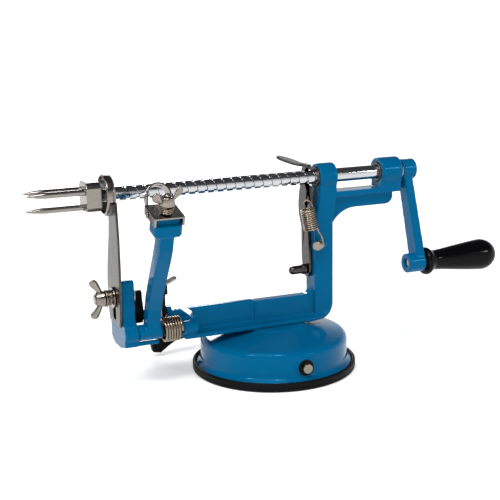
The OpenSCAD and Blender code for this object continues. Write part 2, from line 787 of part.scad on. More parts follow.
// bright thumb wing on the latch
module latch_thumb() {
    color(nickel) translate([-74.6, 3, 63.3]) rotate([0, -24, 0]) {
        block([-0.4, -2.6, 0], [7.4, 2.6, 1.4]);
        translate([7.4, 0, 0]) cylinder(r = 2.6, h = 1.4);
    }
}

cast_frame();
base_housing();
suction_cup();
base_bolts();
axle_bushings();
post_bushing();
outer_bushing();
pivot_rod();
torsion_spring();
corer_bolt();
corer_washers();
corer_spring();
release_bolt();
release_spring();
spring_screw();
latch_pin();
thrust_washer();
feed_screw();
crank_shaft();
fork_block();
fork_prongs();
crank_arm();
crank_set_screw();
handle_pin();
crank_handle();
release_lever();
peeler_arm();
blade_holder();
peeling_blade();
blade_rivets();
blade_screw();
blade_spring();
blade_wing_nut();
corer_plate();
corer_ring();
corer_wing_nut();
arm_latch();
latch_thumb();
cam_axle();
suction_lever();
lever_grip();
pull_stud();
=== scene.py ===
"""Looks of a hand-cranked apple peeler corer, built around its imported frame.

Each sub-assembly is a class that makes its own meshes and dresses them. Lengths in the class
fields are millimetres in the part's own frame; meshes are made in metres.
"""

from __future__ import annotations

import json
import logging
import math
from dataclasses import dataclass
from enum import Enum
from typing import Sequence

import bmesh
import bpy
from mathutils import Matrix, Vector

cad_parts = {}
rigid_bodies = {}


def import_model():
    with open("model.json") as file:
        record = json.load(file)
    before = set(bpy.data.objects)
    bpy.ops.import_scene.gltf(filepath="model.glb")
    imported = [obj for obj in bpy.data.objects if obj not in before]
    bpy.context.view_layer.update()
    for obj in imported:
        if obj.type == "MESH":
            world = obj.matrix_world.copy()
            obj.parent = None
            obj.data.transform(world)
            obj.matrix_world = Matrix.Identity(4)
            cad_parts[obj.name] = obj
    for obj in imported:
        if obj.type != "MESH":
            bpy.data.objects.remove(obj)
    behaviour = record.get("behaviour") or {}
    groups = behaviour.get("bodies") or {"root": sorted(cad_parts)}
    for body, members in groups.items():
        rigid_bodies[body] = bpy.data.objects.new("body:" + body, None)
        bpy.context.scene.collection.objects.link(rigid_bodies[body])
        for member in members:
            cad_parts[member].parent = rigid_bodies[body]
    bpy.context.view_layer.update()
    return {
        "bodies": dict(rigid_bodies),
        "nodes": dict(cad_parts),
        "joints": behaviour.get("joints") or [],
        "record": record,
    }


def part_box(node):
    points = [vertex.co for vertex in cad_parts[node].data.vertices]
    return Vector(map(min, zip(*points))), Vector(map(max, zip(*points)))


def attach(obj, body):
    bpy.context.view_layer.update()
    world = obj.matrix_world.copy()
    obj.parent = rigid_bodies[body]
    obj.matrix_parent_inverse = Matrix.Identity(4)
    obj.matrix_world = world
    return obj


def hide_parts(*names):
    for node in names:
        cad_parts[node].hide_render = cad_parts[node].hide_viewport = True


LOG = logging.getLogger("peeler")
MM = 0.001
Point = tuple[float, float, float]
Colour = tuple[float, float, float]


class Slot(Enum):
    """The record's material slots."""

    ENAMEL = "blue_enamel"
    CHROME = "chrome_steel"
    PLATE = "plate_steel"
    NICKEL = "nickel_plate"
    SPRING = "spring_steel"
    BRONZE = "bronze_sleeve"
    RUBBER = "black_rubber"
    HANDLE = "black_handle"
    OXIDE = "black_oxide"


class Axis(Enum):
    """Directions that a turned piece may point along."""

    X = (0.0, math.pi / 2, 0.0)
    Y = (-math.pi / 2, 0.0, 0.0)
    Z = (0.0, 0.0, 0.0)

    def matrix(self) -> Matrix:
        """Returns the turn that takes +Z to this axis."""
        return Matrix.Rotation(self.value[1], 4, "Y") @ Matrix.Rotation(self.value[0], 4, "X")


# ---------------------------------------------------------------- node trees


class Board:
    """Adds nodes to one tree and joins them."""

    def __init__(self, tree: bpy.types.NodeTree) -> None:
        """Keeps the tree.

        Args:
            tree: the node tree to work in.
        """
        self.tree = tree

    def add(self, kind: str, values: dict | None = None, **settings: object) -> bpy.types.Node:
        """Adds a node.

        Args:
            kind: the node's type name.
            values: input values or sockets by input name or index.
            settings: the node's own properties.

        Returns:
            The new node.
        """
        node = self.tree.nodes.new(kind)
        for name, value in settings.items():
            setattr(node, name, value)
        for key, value in (values or {}).items():
            self.feed(node.inputs[key], value)
        return node

    def feed(self, socket: bpy.types.NodeSocket, value: object) -> None:
        """Sets an input, or joins it to an output.

        Args:
            socket: the input.
            value: a plain value or an output socket.
        """
        if isinstance(value, bpy.types.NodeSocket):
            self.tree.links.new(value, socket)
        else:
            socket.default_value = value

    def math(self, operation: str, *terms: object) -> bpy.types.NodeSocket:
        """Adds one Math node.

        Args:
            operation: the node's operation.
            terms: numbers or sockets.

        Returns:
            Its output.
        """
        node = self.add("ShaderNodeMath", operation=operation)
        for socket, term in zip(node.inputs, terms):
            self.feed(socket, term)
        return node.outputs[0]

    def spread(self, value: object, low: object, high: object, near: float = 0.3,
               far: float = 0.7) -> bpy.types.NodeSocket:
        """Maps a value between two ends.

        Args:
            value: the socket to map.
            low: result at near.
            high: result at far.
            near: lowest incoming value.
            far: highest incoming value.

        Returns:
            The mapped output.
        """
        node = self.add("ShaderNodeMapRange", {"Value": value, "From Min": near,
                                               "From Max": far, "To Min": low, "To Max": high})
        return node.outputs[0]

    def blend(self, share: object, first: object, second: object) -> bpy.types.NodeSocket:
        """Mixes two colours.

        Args:
            share: how much of the second colour shows.
            first: the colour at 0.
            second: the colour at 1.

        Returns:
            The mixed colour.
        """
        node = self.add("ShaderNodeMix", {0: share, 6: first, 7: second}, data_type="RGBA")
        return node.outputs[2]


def open_tree(kind: str, name: str, inputs: Sequence[tuple[str, str, object]],
              outputs: Sequence[tuple[str, str]]) -> tuple[Board, dict, bpy.types.Node]:
    """Starts a node group with named sockets.

    Args:
        kind: ShaderNodeTree or GeometryNodeTree.
        name: the group's name.
        inputs: name, socket type and default of each input.
        outputs: name and socket type of each output.

    Returns:
        The board, the inputs' sockets by name, and the group's output node.
    """
    tree = bpy.data.node_groups.new(name, kind)
    for title, socket_type, default in inputs:
        socket = tree.interface.new_socket(title, in_out="INPUT", socket_type=socket_type)
        if default is not None:
            socket.default_value = default
    for title, socket_type in outputs:
        tree.interface.new_socket(title, in_out="OUTPUT", socket_type=socket_type)
    board = Board(tree)
    source = board.add("NodeGroupInput")
    sink = board.add("NodeGroupOutput")
    return board, {s.name: s for s in source.outputs if s.name}, sink


def close_tree(board: Board, given: dict, sink: bpy.types.Node,
               shape: bpy.types.NodeSocket) -> bpy.types.NodeTree:
    """Ends a geometry tree: realizes its instances and sets its finish.

    Args:
        board: the tree's board.
        given: its inputs' sockets, with the material under Finish.
        sink: its output node.
        shape: the geometry to hand on.

    Returns:
        The finished tree.
    """
    real = board.add("GeometryNodeRealizeInstances", {0: shape})
    dressed = board.add("GeometryNodeSetMaterial",
                        {"Geometry": real.outputs[0], "Material": given["Finish"]})
    board.feed(sink.inputs[0], dressed.outputs[0])
    return board.tree


FLOAT, VECTOR, INT = "NodeSocketFloat", "NodeSocketVector", "NodeSocketInt"
GEOMETRY, MATERIAL = "NodeSocketGeometry", "NodeSocketMaterial"


class ShaderKit:
    """The effects that several finishes share, each a group built once."""

    def __init__(self) -> None:
        """Builds the three groups."""
        self.grain = self._grain()
        self.wear = self._wear()
        self.specks = self._specks()

    @staticmethod
    def _grain() -> bpy.types.NodeTree:
        """Returns the group for uneven gloss and fine lines: noise stretched along the piece."""
        board, given, sink = open_tree(
            "ShaderNodeTree", "surface_grain",
            [("Scale", FLOAT, 400.0), ("Stretch", VECTOR, (1.0, 1.0, 1.0)),
             ("Low", FLOAT, 0.0), ("High", FLOAT, 1.0)], [("Value", FLOAT)])
        place = board.add("ShaderNodeTexCoord").outputs["Object"]
        stretched = board.add("ShaderNodeVectorMath", {0: place, 1: given["Stretch"]},
                              operation="MULTIPLY").outputs[0]
        noise = board.add("ShaderNodeTexNoise", {"Vector": stretched, "Scale": given["Scale"],
                                                 "Detail": 4.0, "Roughness": 0.6})
        value = board.spread(noise.outputs[0], given["Low"], given["High"])
        board.feed(sink.inputs[0], value)
        return board.tree

    @staticmethod
    def _wear() -> bpy.types.NodeTree:
        """Returns the group for rubbed edges: convex edges, broken up by noise."""
        board, given, sink = open_tree(
            "ShaderNodeTree", "edge_wear",
            [("Start", FLOAT, 0.52), ("Full", FLOAT, 0.6), ("Scale", FLOAT, 300.0)],
            [("Mask", FLOAT)])
        edge = board.add("ShaderNodeNewGeometry").outputs["Pointiness"]
        edge_range = board.add("ShaderNodeMapRange", {"Value": edge, "From Min": given["Start"],
                                                      "From Max": given["Full"]})
        place = board.add("ShaderNodeTexCoord").outputs["Object"]
        noise = board.add("ShaderNodeTexNoise", {"Vector": place, "Scale": given["Scale"],
                                                 "Detail": 3.0})
        patch = board.spread(noise.outputs[0], 0.0, 1.0, 0.42, 0.62)
        board.feed(sink.inputs[0], board.math("MULTIPLY", edge_range.outputs[0], patch))
        return board.tree

    @staticmethod
    def _specks() -> bpy.types.NodeTree:
        """Returns the group for dust and pores: sparse small spots."""
        board, given, sink = open_tree(
            "ShaderNodeTree", "specks",
            [("Scale", FLOAT, 900.0), ("Size", FLOAT, 0.2)], [("Mask", FLOAT)])
        place = board.add("ShaderNodeTexCoord").outputs["Object"]
        cells = board.add("ShaderNodeTexVoronoi", {"Vector": place, "Scale": given["Scale"]})
        near = board.add("ShaderNodeMapRange", {"Value": cells.outputs["Distance"],
                                                "From Min": given["Size"], "From Max": 0.0})
        cover = board.add("ShaderNodeTexNoise", {"Vector": place, "Scale": 160.0})
        sparse = board.spread(cover.outputs[0], 0.0, 1.0, 0.5, 0.7)
        board.feed(sink.inputs[0], board.math("MULTIPLY", near.outputs[0], sparse))
        return board.tree


def shader_start(name: str, metallic: float, **constant: object
                 ) -> tuple[bpy.types.Material, Board, bpy.types.Node]:
    """Starts a material with one Principled shader.

    Args:
        name: the material's name.
        metallic: its metal value.
        constant: values for sockets that stay the same all over, by socket name with
            underscores for spaces.

    Returns:
        The material, its board and the shader.
    """
    material = bpy.data.materials.new(name + "_look")
    material.use_nodes = True
    material.node_tree.nodes.clear()
    board = Board(material.node_tree)
    shader = board.add("ShaderNodeBsdfPrincipled", {"Metallic": metallic})
    for title, value in constant.items():
        shader.inputs[title.replace("_", " ")].default_value = value
    out = board.add("ShaderNodeOutputMaterial")
    board.feed(out.inputs["Surface"], shader.outputs["BSDF"])
    return material, board, shader


def grouped(board: Board, group: bpy.types.NodeTree, **values: object) -> bpy.types.NodeSocket:
    """Places a shared group in a material.

    Args:
        board: the material's board.
        group: the shared group.
        values: its inputs by name.

    Returns:
        The group's first output.
    """
    node = board.add("ShaderNodeGroup", node_tree=group)
    for name, value in values.items():
        board.feed(node.inputs[name], value)
    return node.outputs[0]


def bumped(board: Board, shader: bpy.types.Node, height: bpy.types.NodeSocket,
           strength: float, distance: float) -> None:
    """Feeds a height into the shader's normal.

    Args:
        board: the material's board.
        shader: the Principled shader.
        height: the height signal.
        strength: the Bump node's strength.
        distance: the bump's depth in metres.
    """
    bump = board.add("ShaderNodeBump", {"Strength": strength, "Distance": distance,
                                        "Height": height})
    board.feed(shader.inputs["Normal"], bump.outputs[0])


@dataclass(frozen=True)
class EnamelFinish:
    """Baked glossy enamel over a rough casting."""

    slot: Slot
    colour: Colour
    deep: Colour
    edge: Colour
    gloss: tuple[float, float] = (0.07, 0.15)
    peel_scale: float = 260.0
    peel_depth: float = 0.00006

    def build(self, kit: ShaderKit) -> bpy.types.Material:
        """Makes the material.

        Args:
            kit: the shared groups.

        Returns:
            The material.
        """
        material, board, shader = shader_start(
            self.slot.value, 0.0, IOR=1.5, Specular_IOR_Level=0.22,
            Specular_Tint=(0.1, 0.5, 0.8, 1.0))
        cloud = grouped(board, kit.grain, Scale=28.0, Low=0.0, High=0.55)
        paint = board.blend(cloud, (*self.colour, 1), (*self.deep, 1))
        rub = grouped(board, kit.wear, Start=0.515, Full=0.62, Scale=240.0)
        thin = board.math("MULTIPLY", rub, 0.4)
        paint = board.blend(thin, paint, (*self.edge, 1))
        dust = grouped(board, kit.specks, Scale=1500.0, Size=0.16)
        paint = board.blend(board.math("MULTIPLY", dust, 0.18), paint, (0.1, 0.22, 0.34, 1))
        board.feed(shader.inputs["Base Color"], paint)
        board.feed(shader.inputs["Roughness"],
                   grouped(board, kit.grain, Scale=160.0, Low=self.gloss[0], High=self.gloss[1]))
        peel = grouped(board, kit.grain, Scale=self.peel_scale, Low=0.0, High=1.0)
        bumped(board, shader, peel, 0.35, self.peel_depth)
        return material


@dataclass(frozen=True)
class MetalFinish:
    """Bare or plated metal with grain lines, uneven gloss and light marks."""

    slot: Slot
    colour: Colour
    shade: Colour
    rough: tuple[float, float] = (0.08, 0.2)
    scale: float = 300.0
    stretch: Point = (1.0, 1.0, 1.0)
    line_depth: float = 0.00001
    mark_share: float = 0.3
    label: str = ""

    def build(self, kit: ShaderKit) -> bpy.types.Material:
        """Makes the material.

        Args:
            kit: the shared groups.

        Returns:
            The material.
        """
        material, board, shader = shader_start(self.label or self.slot.value, 1.0)
        lines = grouped(board, kit.grain, Scale=self.scale, Stretch=self.stretch,
                        Low=0.0, High=1.0)
        cloud = grouped(board, kit.grain, Scale=60.0, Low=0.0, High=self.mark_share)
        tone = board.math("MAXIMUM", board.math("MULTIPLY", lines, self.mark_share), cloud)
        metal = board.blend(tone, (*self.colour, 1), (*self.shade, 1))
        rub = grouped(board, kit.wear, Start=0.52, Full=0.6, Scale=500.0)
        metal = board.blend(board.math("MULTIPLY", rub, 0.12), metal, (0.6, 0.58, 0.56, 1))
        board.feed(shader.inputs["Base Color"], metal)
        board.feed(shader.inputs["Roughness"], board.spread(lines, *self.rough, 0.0, 1.0))
        bumped(board, shader, lines, 0.4, self.line_depth)
        return material


@dataclass(frozen=True)
class PolymerFinish:
    """Rubber or plastic with a moulded skin, scuffs and settled dust."""

    slot: Slot
    colour: Colour
    scuff: Colour
    rough: tuple[float, float] = (0.5, 0.7)
    coat: float = 0.0
    skin_scale: float = 900.0
    skin_depth: float = 0.00005
    label: str = ""

    def build(self, kit: ShaderKit) -> bpy.types.Material:
        """Makes the material.

        Args:
            kit: the shared groups.

        Returns:
            The material.
        """
        material, board, shader = shader_start(
            self.label or self.slot.value, 0.0, Coat_Weight=self.coat, Coat_Roughness=0.06,
            Specular_IOR_Level=0.08)
        skin = grouped(board, kit.grain, Scale=self.skin_scale, Low=0.0, High=1.0)
        rub = grouped(board, kit.wear, Start=0.52, Full=0.62, Scale=380.0)
        tone = board.blend(board.math("MULTIPLY", rub, 0.6), (*self.colour, 1),
                           (*self.scuff, 1))
        dust = grouped(board, kit.specks, Scale=1300.0, Size=0.2)
        tone = board.blend(board.math("MULTIPLY", dust, 0.25), tone, (*self.scuff, 1))
        board.feed(shader.inputs["Base Color"], tone)
        board.feed(shader.inputs["Roughness"],
                   grouped(board, kit.grain, Scale=140.0, Low=self.rough[0], High=self.rough[1]))
        bumped(board, shader, skin, 0.3, self.skin_depth)
        return material


FINISHES: dict[str, EnamelFinish | MetalFinish | PolymerFinish] = {
    "enamel": EnamelFinish(Slot.ENAMEL, (0.0, 0.1, 0.23), (0.0, 0.085, 0.2),
                           (0.005, 0.16, 0.3)),
    "chrome": MetalFinish(Slot.CHROME, (0.6, 0.61, 0.63), (0.3, 0.31, 0.33), (0.04, 0.12),
                          scale=240.0, stretch=(6.0, 1.0, 1.0), mark_share=0.25),
    "plate": MetalFinish(Slot.PLATE, (0.08, 0.075, 0.07), (0.042, 0.039, 0.036), (0.18, 0.34),
                         scale=260.0, stretch=(5.0, 5.0, 0.25), mark_share=0.5),
    "bright_plate": MetalFinish(Slot.PLATE, (0.32, 0.295, 0.27), (0.15, 0.135, 0.12), (0.1, 0.22),
                                scale=320.0, stretch=(4.0, 1.0, 4.0), mark_share=0.4,
                                label="plate_steel_polished"),
    "nickel": MetalFinish(Slot.NICKEL, (0.36, 0.32, 0.28), (0.13, 0.11, 0.09), (0.1, 0.24),
                          scale=420.0, line_depth=0.00003, mark_share=0.55),
    "spring": MetalFinish(Slot.SPRING, (0.36, 0.29, 0.22), (0.13, 0.1, 0.07), (0.14, 0.28),
                          scale=520.0, line_depth=0.00002, mark_share=0.6),
    "bronze": MetalFinish(Slot.BRONZE, (0.15, 0.125, 0.1), (0.07, 0.058, 0.046), (0.35, 0.55),
                          scale=1400.0, line_depth=0.00006, mark_share=0.8),
    "rubber": PolymerFinish(Slot.RUBBER, (0.003, 0.003, 0.0035), (0.012, 0.012, 0.013),
                            (0.42, 0.6)),
    "handle": PolymerFinish(Slot.HANDLE, (0.002, 0.002, 0.0025), (0.007, 0.007, 0.008),
                            (0.1, 0.2), coat=0.05, skin_scale=500.0, skin_depth=0.00002),
    "oxide": PolymerFinish(Slot.OXIDE, (0.004, 0.0045, 0.006), (0.03, 0.028, 0.026), (0.22, 0.4),
                           coat=0.1, skin_scale=700.0, skin_depth=0.00008),
}


# ---------------------------------------------------------------- geometry nodes


class WireTree:
    """Sweeps a round wire along the edges of a path mesh."""

    def __init__(self) -> None:
        """Builds the tree."""
        board, given, sink = open_tree(
            "GeometryNodeTree", "wire_along_path",
            [("Path", GEOMETRY, None), ("Radius", FLOAT, 0.001), ("Sides", INT, 12),
             ("Finish", MATERIAL, None)], [("Wire", GEOMETRY)])
        curve = board.add("GeometryNodeMeshToCurve", {0: given["Path"]})
        section = board.add("GeometryNodeCurvePrimitiveCircle",
                            {"Resolution": given["Sides"], "Radius": given["Radius"]})
        swept = board.add("GeometryNodeCurveToMesh",
                          {"Curve": curve.outputs[0], "Profile Curve": section.outputs[0],
                           "Fill Caps": True})
        self.tree = close_tree(board, given, sink, swept.outputs[0])


class RingTree:
    """Places copies of a mesh evenly about the X axis."""

    def __init__(self) -> None:
        """Builds the tree."""
        board, given, sink = open_tree(
            "GeometryNodeTree", "copies_about_axis",
            [("Piece", GEOMETRY, None), ("Count", INT, 3), ("First Angle", FLOAT, 0.0),
             ("Finish", MATERIAL, None)], [("Ring", GEOMETRY)])
        points = board.add("GeometryNodePoints", {"Count": given["Count"]})
        index = board.add("GeometryNodeInputIndex").outputs[0]
        step = board.math("DIVIDE", math.tau, given["Count"])
        angle = board.math("MULTIPLY_ADD", index, step, given["First Angle"])
        turn = board.add("ShaderNodeCombineXYZ", {"X": angle})
        placed = board.add("GeometryNodeInstanceOnPoints",
                           {"Points": points.outputs[0], "Instance": given["Piece"],
                            "Rotation": turn.outputs[0]})
        self.tree = close_tree(board, given, sink, placed.outputs[0])


class ThreadTree:
    """A rod along X with a helical groove, closed at both ends.

    Every groove has six rows of points. Three more rows close each end.
    """

    ROWS = 6
    END_ROWS = 3
    OFFSETS = (-0.5, -0.46, -0.37, 0.37, 0.46, 0.5)
    DEPTHS = (0.0, 0.3, 1.0, 1.0, 0.3, 0.0)

    def __init__(self) -> None:
        """Builds the tree."""
        board, given, sink = open_tree(
            "GeometryNodeTree", "threaded_rod",
            [("Start", FLOAT, 0.0), ("End", FLOAT, 0.1), ("Radius", FLOAT, 0.004),
             ("Chamfer", FLOAT, 0.0), ("First Groove", FLOAT, 0.0), ("Pitch", FLOAT, 0.006),
             ("Turns", INT, 10), ("Depth", FLOAT, 0.001), ("Width", FLOAT, 0.002),
             ("Columns", INT, 64), ("Finish", MATERIAL, None)], [("Rod", GEOMETRY)])
        self.board, self.given = board, given
        math_ = board.math
        thread_rows = math_("MULTIPLY", given["Turns"], self.ROWS)
        last = math_("ADD", thread_rows, 2 * self.END_ROWS - 1)
        grid = board.add("GeometryNodeMeshGrid",
                         {"Size X": 1.0, "Size Y": 1.0,
                          "Vertices X": math_("ADD", last, 1.0),
                          "Vertices Y": math_("ADD", given["Columns"], 1.0)})
        place = board.add("ShaderNodeSeparateXYZ",
                          {0: board.add("GeometryNodeInputPosition").outputs[0]})
        row = math_("ROUND", math_("MULTIPLY", math_("ADD", place.outputs[0], 0.5), last))
        angle = math_("MULTIPLY", math_("ADD", place.outputs[1], 0.5), math.tau)
        groove_row = math_("SUBTRACT", row, self.END_ROWS)
        turn = math_("FLOOR", math_("DIVIDE", math_("ADD", groove_row, 0.01), self.ROWS))
        spot = math_("ROUND", math_("SUBTRACT", groove_row, math_("MULTIPLY", turn, self.ROWS)))
        along = math_("ADD", turn, math_("DIVIDE", angle, math.tau))
        x = math_("MULTIPLY_ADD", along, given["Pitch"], given["First Groove"])
        x = math_("MULTIPLY_ADD", self._pick(spot, self.OFFSETS), given["Width"], x)
        fade = math_("MINIMUM", math_("MULTIPLY", along, 2.0),
                     math_("MULTIPLY", math_("SUBTRACT", given["Turns"], along), 2.0))
        fade = math_("MINIMUM", 1.0, math_("MAXIMUM", 0.0, fade))
        cut = math_("MULTIPLY", math_("MULTIPLY", fade, given["Depth"]),
                    self._pick(spot, self.DEPTHS))
        radius = math_("SUBTRACT", given["Radius"], cut)
        before = math_("LESS_THAN", row, self.END_ROWS - 0.5)
        rest = math_("SUBTRACT", last, row)
        after = math_("LESS_THAN", rest, self.END_ROWS - 0.5)
        x = self._end(before, x, math_("ADD", given["Start"],
                                       math_("MULTIPLY", self._is(row, 2), given["Chamfer"])))
        x = self._end(after, x, math_("SUBTRACT", given["End"],
                                      math_("MULTIPLY", self._is(rest, 2), given["Chamfer"])))
        x = math_("MINIMUM", given["End"], math_("MAXIMUM", given["Start"], x))
        radius = self._end(before, radius, self._end_radius(row))
        radius = self._end(after, radius, self._end_radius(rest))
        where = board.add("ShaderNodeCombineXYZ", {
            "X": x, "Y": math_("MULTIPLY", radius, math_("COSINE", angle)),
            "Z": math_("MULTIPLY", radius, math_("SINE", angle))})
        shaped = board.add("GeometryNodeSetPosition", {"Geometry": grid.outputs[0],
                                                       "Position": where.outputs[0]})
        closed = board.add("GeometryNodeMergeByDistance", {"Geometry": shaped.outputs[0],
                                                           "Distance": 0.000002})
        self.tree = close_tree(board, given, sink, closed.outputs[0])

    def _pick(self, spot: bpy.types.NodeSocket, values: Sequence[float]) -> bpy.types.NodeSocket:
        """Returns the value that belongs to a row's spot in its groove."""
        total: bpy.types.NodeSocket | float = 0.0
        for i, value in enumerate(values):
            total = self.board.math("MULTIPLY_ADD", self._is(spot, i), value, total)
        return total

    def _is(self, socket: bpy.types.NodeSocket, number: float) -> bpy.types.NodeSocket:
        """Returns 1 where a value is that number."""
        return self.board.math("COMPARE", socket, float(number), 0.3)

    def _end(self, switch: bpy.types.NodeSocket, inside: bpy.types.NodeSocket,
             outside: bpy.types.NodeSocket) -> bpy.types.NodeSocket:
        """Returns the outside value where the switch is 1, and the inside value elsewhere."""
        gap = self.board.math("SUBTRACT", outside, inside)
        return self.board.math("MULTIPLY_ADD", gap, switch, inside)

    def _end_radius(self, row: bpy.types.NodeSocket) -> bpy.types.NodeSocket:
        """Returns the radius of the rows that close an end."""
        full = self.board.math("SUBTRACT", self.given["Radius"],
                               self.board.math("MULTIPLY", self._is(row, 1),
                                               self.given["Chamfer"]))
        return self.board.math("MULTIPLY", full,
                               self.board.math("GREATER_THAN", row, 0.5))


# ---------------------------------------------------------------- workshop


class Workshop:
    """Makes, shapes and hands over pieces."""

    def __init__(self, frame: dict) -> None:
        """Keeps the frame and builds finishes and trees.
        """
        self.frame = frame
        kit = ShaderKit()
        self.finish = {name: look.build(kit) for name, look in FINISHES.items()}
        self.looks = FINISHES
        self.wire_tree = WireTree().tree
        self.ring_tree = RingTree().tree
        self.thread_tree = ThreadTree().tree

    # -- meshes

    @staticmethod
    def object_of(name: str, mesh: bpy.types.Mesh) -> bpy.types.Object:
        """Links a mesh to the scene as a new object and returns it."""
        piece = bpy.data.objects.new(name, mesh)
        bpy.context.scene.collection.objects.link(piece)
        return piece

    @staticmethod
    def mesh_from(name: str, points: Sequence, faces: Sequence) -> bpy.types.Mesh:
        """Makes a mesh with its faces turned outwards.

        Args:
            name: the mesh's name.
            points: its points, in metres.
            faces: its faces.

        Returns:
            The mesh.
        """
        mesh = bpy.data.meshes.new(name)
        mesh.from_pydata([tuple(p) for p in points], [], [tuple(f) for f in faces])
        work = bmesh.new()
        work.from_mesh(mesh)
        bmesh.ops.remove_doubles(work, verts=work.verts, dist=1e-6)
        bmesh.ops.recalc_face_normals(work, faces=work.faces)
        work.to_mesh(mesh)
        work.free()
        return mesh

    def turned(self, name: str, profile: Sequence[tuple[float, float]], place: Matrix,
               segments: int = 96) -> bpy.types.Object:
        """Turns a closed profile about +Z and puts it in place.

        Args:
            name: the piece's name.
            profile: radius and height of each point in millimetres, going once round.
            place: where the turned piece goes, in metres.
            segments: how many steps go round.

        Returns:
            The piece.
        """
        points: list[Vector] = []
        faces: list[tuple[int, ...]] = []
        count = len(profile)
        for j in range(segments):
            a = math.tau * j / segments
            for radius, height in profile:
                points.append(place @ Vector((radius * MM * math.cos(a),
                                              radius * MM * math.sin(a), height * MM)))
        on_axis = profile[0][0] < 1e-6 and profile[-1][0] < 1e-6
        steps = count - 1 if on_axis else count
        for j in range(segments):
            k = (j + 1) % segments
            for i in range(steps):
                n = (i + 1) % count
                ring = [j * count + i, k * count + i, k * count + n, j * count + n]
                if profile[i][0] < 1e-6:
                    ring.pop(1)
                elif profile[n][0] < 1e-6:
                    ring.pop(2)
                faces.append(tuple(ring))
        return self.object_of(name, self.mesh_from(name, points, faces))

    def cad_copy(self, node: str, name: str, flatten: float = 0.8) -> bpy.types.Object:
        """Copies a CAD node's mesh and joins its triangles into flat faces.

        Args:
            node: the CAD node.
            name: the new piece's name.
            flatten: faces that differ by less than this many degrees are joined.

        Returns:
            The copy.
        """
        mesh = self.frame["nodes"][node].data.copy()
        mesh.name = name
        work = bmesh.new()
        work.from_mesh(mesh)
        bmesh.ops.remove_doubles(work, verts=work.verts, dist=4e-6)
        bmesh.ops.dissolve_degenerate(work, edges=work.edges, dist=2e-6)
        if flatten > 0:
            bmesh.ops.dissolve_limit(work, angle_limit=math.radians(flatten),
                                     verts=work.verts, edges=work.edges)
        work.to_mesh(mesh)
        work.free()
        mesh.materials.clear()
        for name_ in [a.name for a in mesh.attributes if a.name == "custom_normal"]:
            mesh.attributes.remove(mesh.attributes[name_])
        return self.object_of(name, mesh)

    @staticmethod
    def settle(piece: bpy.types.Object) -> bpy.types.Object:
        """Turns a piece's modifiers into plain mesh and returns the piece."""
        bpy.context.view_layer.update()
        evaluated = piece.evaluated_get(bpy.context.evaluated_depsgraph_get())
        mesh = bpy.data.meshes.new_from_object(evaluated)
        mesh.name = piece.name
        old = piece.data
        piece.modifiers.clear()
        piece.data = mesh
        bpy.data.meshes.remove(old)
        return piece

    def bevelled(self, piece: bpy.types.Object, width: float, segments: int = 2,
                 angle: float = 28.0) -> bpy.types.Object:
        """Rounds a piece's edges.

        Args:
            piece: the piece.
            width: the bevel's width in millimetres.
            segments: steps across the bevel.
            angle: sharper edges than this many degrees are rounded.

        Returns:
            The piece.
        """
        bevel = piece.modifiers.new("edge", "BEVEL")
        bevel.limit_method = "ANGLE"
        bevel.angle_limit = math.radians(angle)
        bevel.width = width * MM
        bevel.segments = segments
        bevel.use_clamp_overlap = False
        return self.shaded(self.settle(piece))

    def cast_skin(self, piece: bpy.types.Object, voxel: float, rounds: int,
                  flatten: float = 0.5) -> bpy.types.Object:
        """Gives a piece the rounded edges and filled corners of a casting.

        Args:
            piece: the piece.
            voxel: size of the remesh in millimetres.
            rounds: smoothing passes.
            flatten: flat parts are joined up to this many degrees.

        Returns:
            The piece.
        """
        remesh = piece.modifiers.new("skin", "REMESH")
        remesh.mode = "VOXEL"
        remesh.voxel_size = voxel * MM
        soften = piece.modifiers.new("soften", "SMOOTH")
        soften.factor = 0.5
        soften.iterations = rounds
        self.settle(piece)
        work = bmesh.new()
        work.from_mesh(piece.data)
        bmesh.ops.dissolve_limit(work, angle_limit=math.radians(flatten), verts=work.verts,
                                 edges=work.edges)
        bmesh.ops.triangulate(work, faces=[f for f in work.faces if len(f.verts) > 4])
        work.to_mesh(piece.data)
        work.free()
        return self.shaded(piece, 60.0)

    def shaded(self, piece: bpy.types.Object, angle: float = 40.0) -> bpy.types.Object:
        """Shades a piece smooth between sharp edges, weighted by face size.

        Args:
            piece: the piece.
            angle: edges sharper than this many degrees stay sharp.

        Returns:
            The piece.
        """
        piece.data.shade_smooth()
        piece.data.set_sharp_from_angle(angle=math.radians(angle))
        weighted = piece.modifiers.new("normals", "WEIGHTED_NORMAL")
        weighted.keep_sharp = True
        return self.settle(piece)

    def subdivided(self, piece: bpy.types.Object, levels: int) -> bpy.types.Object:
        """Rounds a cage by subdivision and returns the piece."""
        soft = piece.modifiers.new("round", "SUBSURF")
        soft.levels = levels
        soft.render_levels = levels
        self.settle(piece)
        piece.data.shade_smooth()
        return piece

    def grown(self, name: str, base: bpy.types.Mesh, tree: bpy.types.NodeTree,
              **values: object) -> bpy.types.Object:
        """Runs a geometry tree on a mesh and keeps the plain result.

        Args:
            name: the piece's name.
            base: the mesh the tree starts from.
            tree: the geometry tree.
            values: its inputs by name, with underscores for spaces.

        Returns:
            The piece.
        """
        piece = self.object_of(name, base)
        modifier = piece.modifiers.new("tree", "NODES")
        modifier.node_group = tree
        sockets = {s.name: s.identifier for s in tree.interface.items_tree
                   if s.in_out == "INPUT"}
        for title, value in values.items():
            modifier[sockets[title.replace("_", " ")]] = value
        return self.settle(piece)

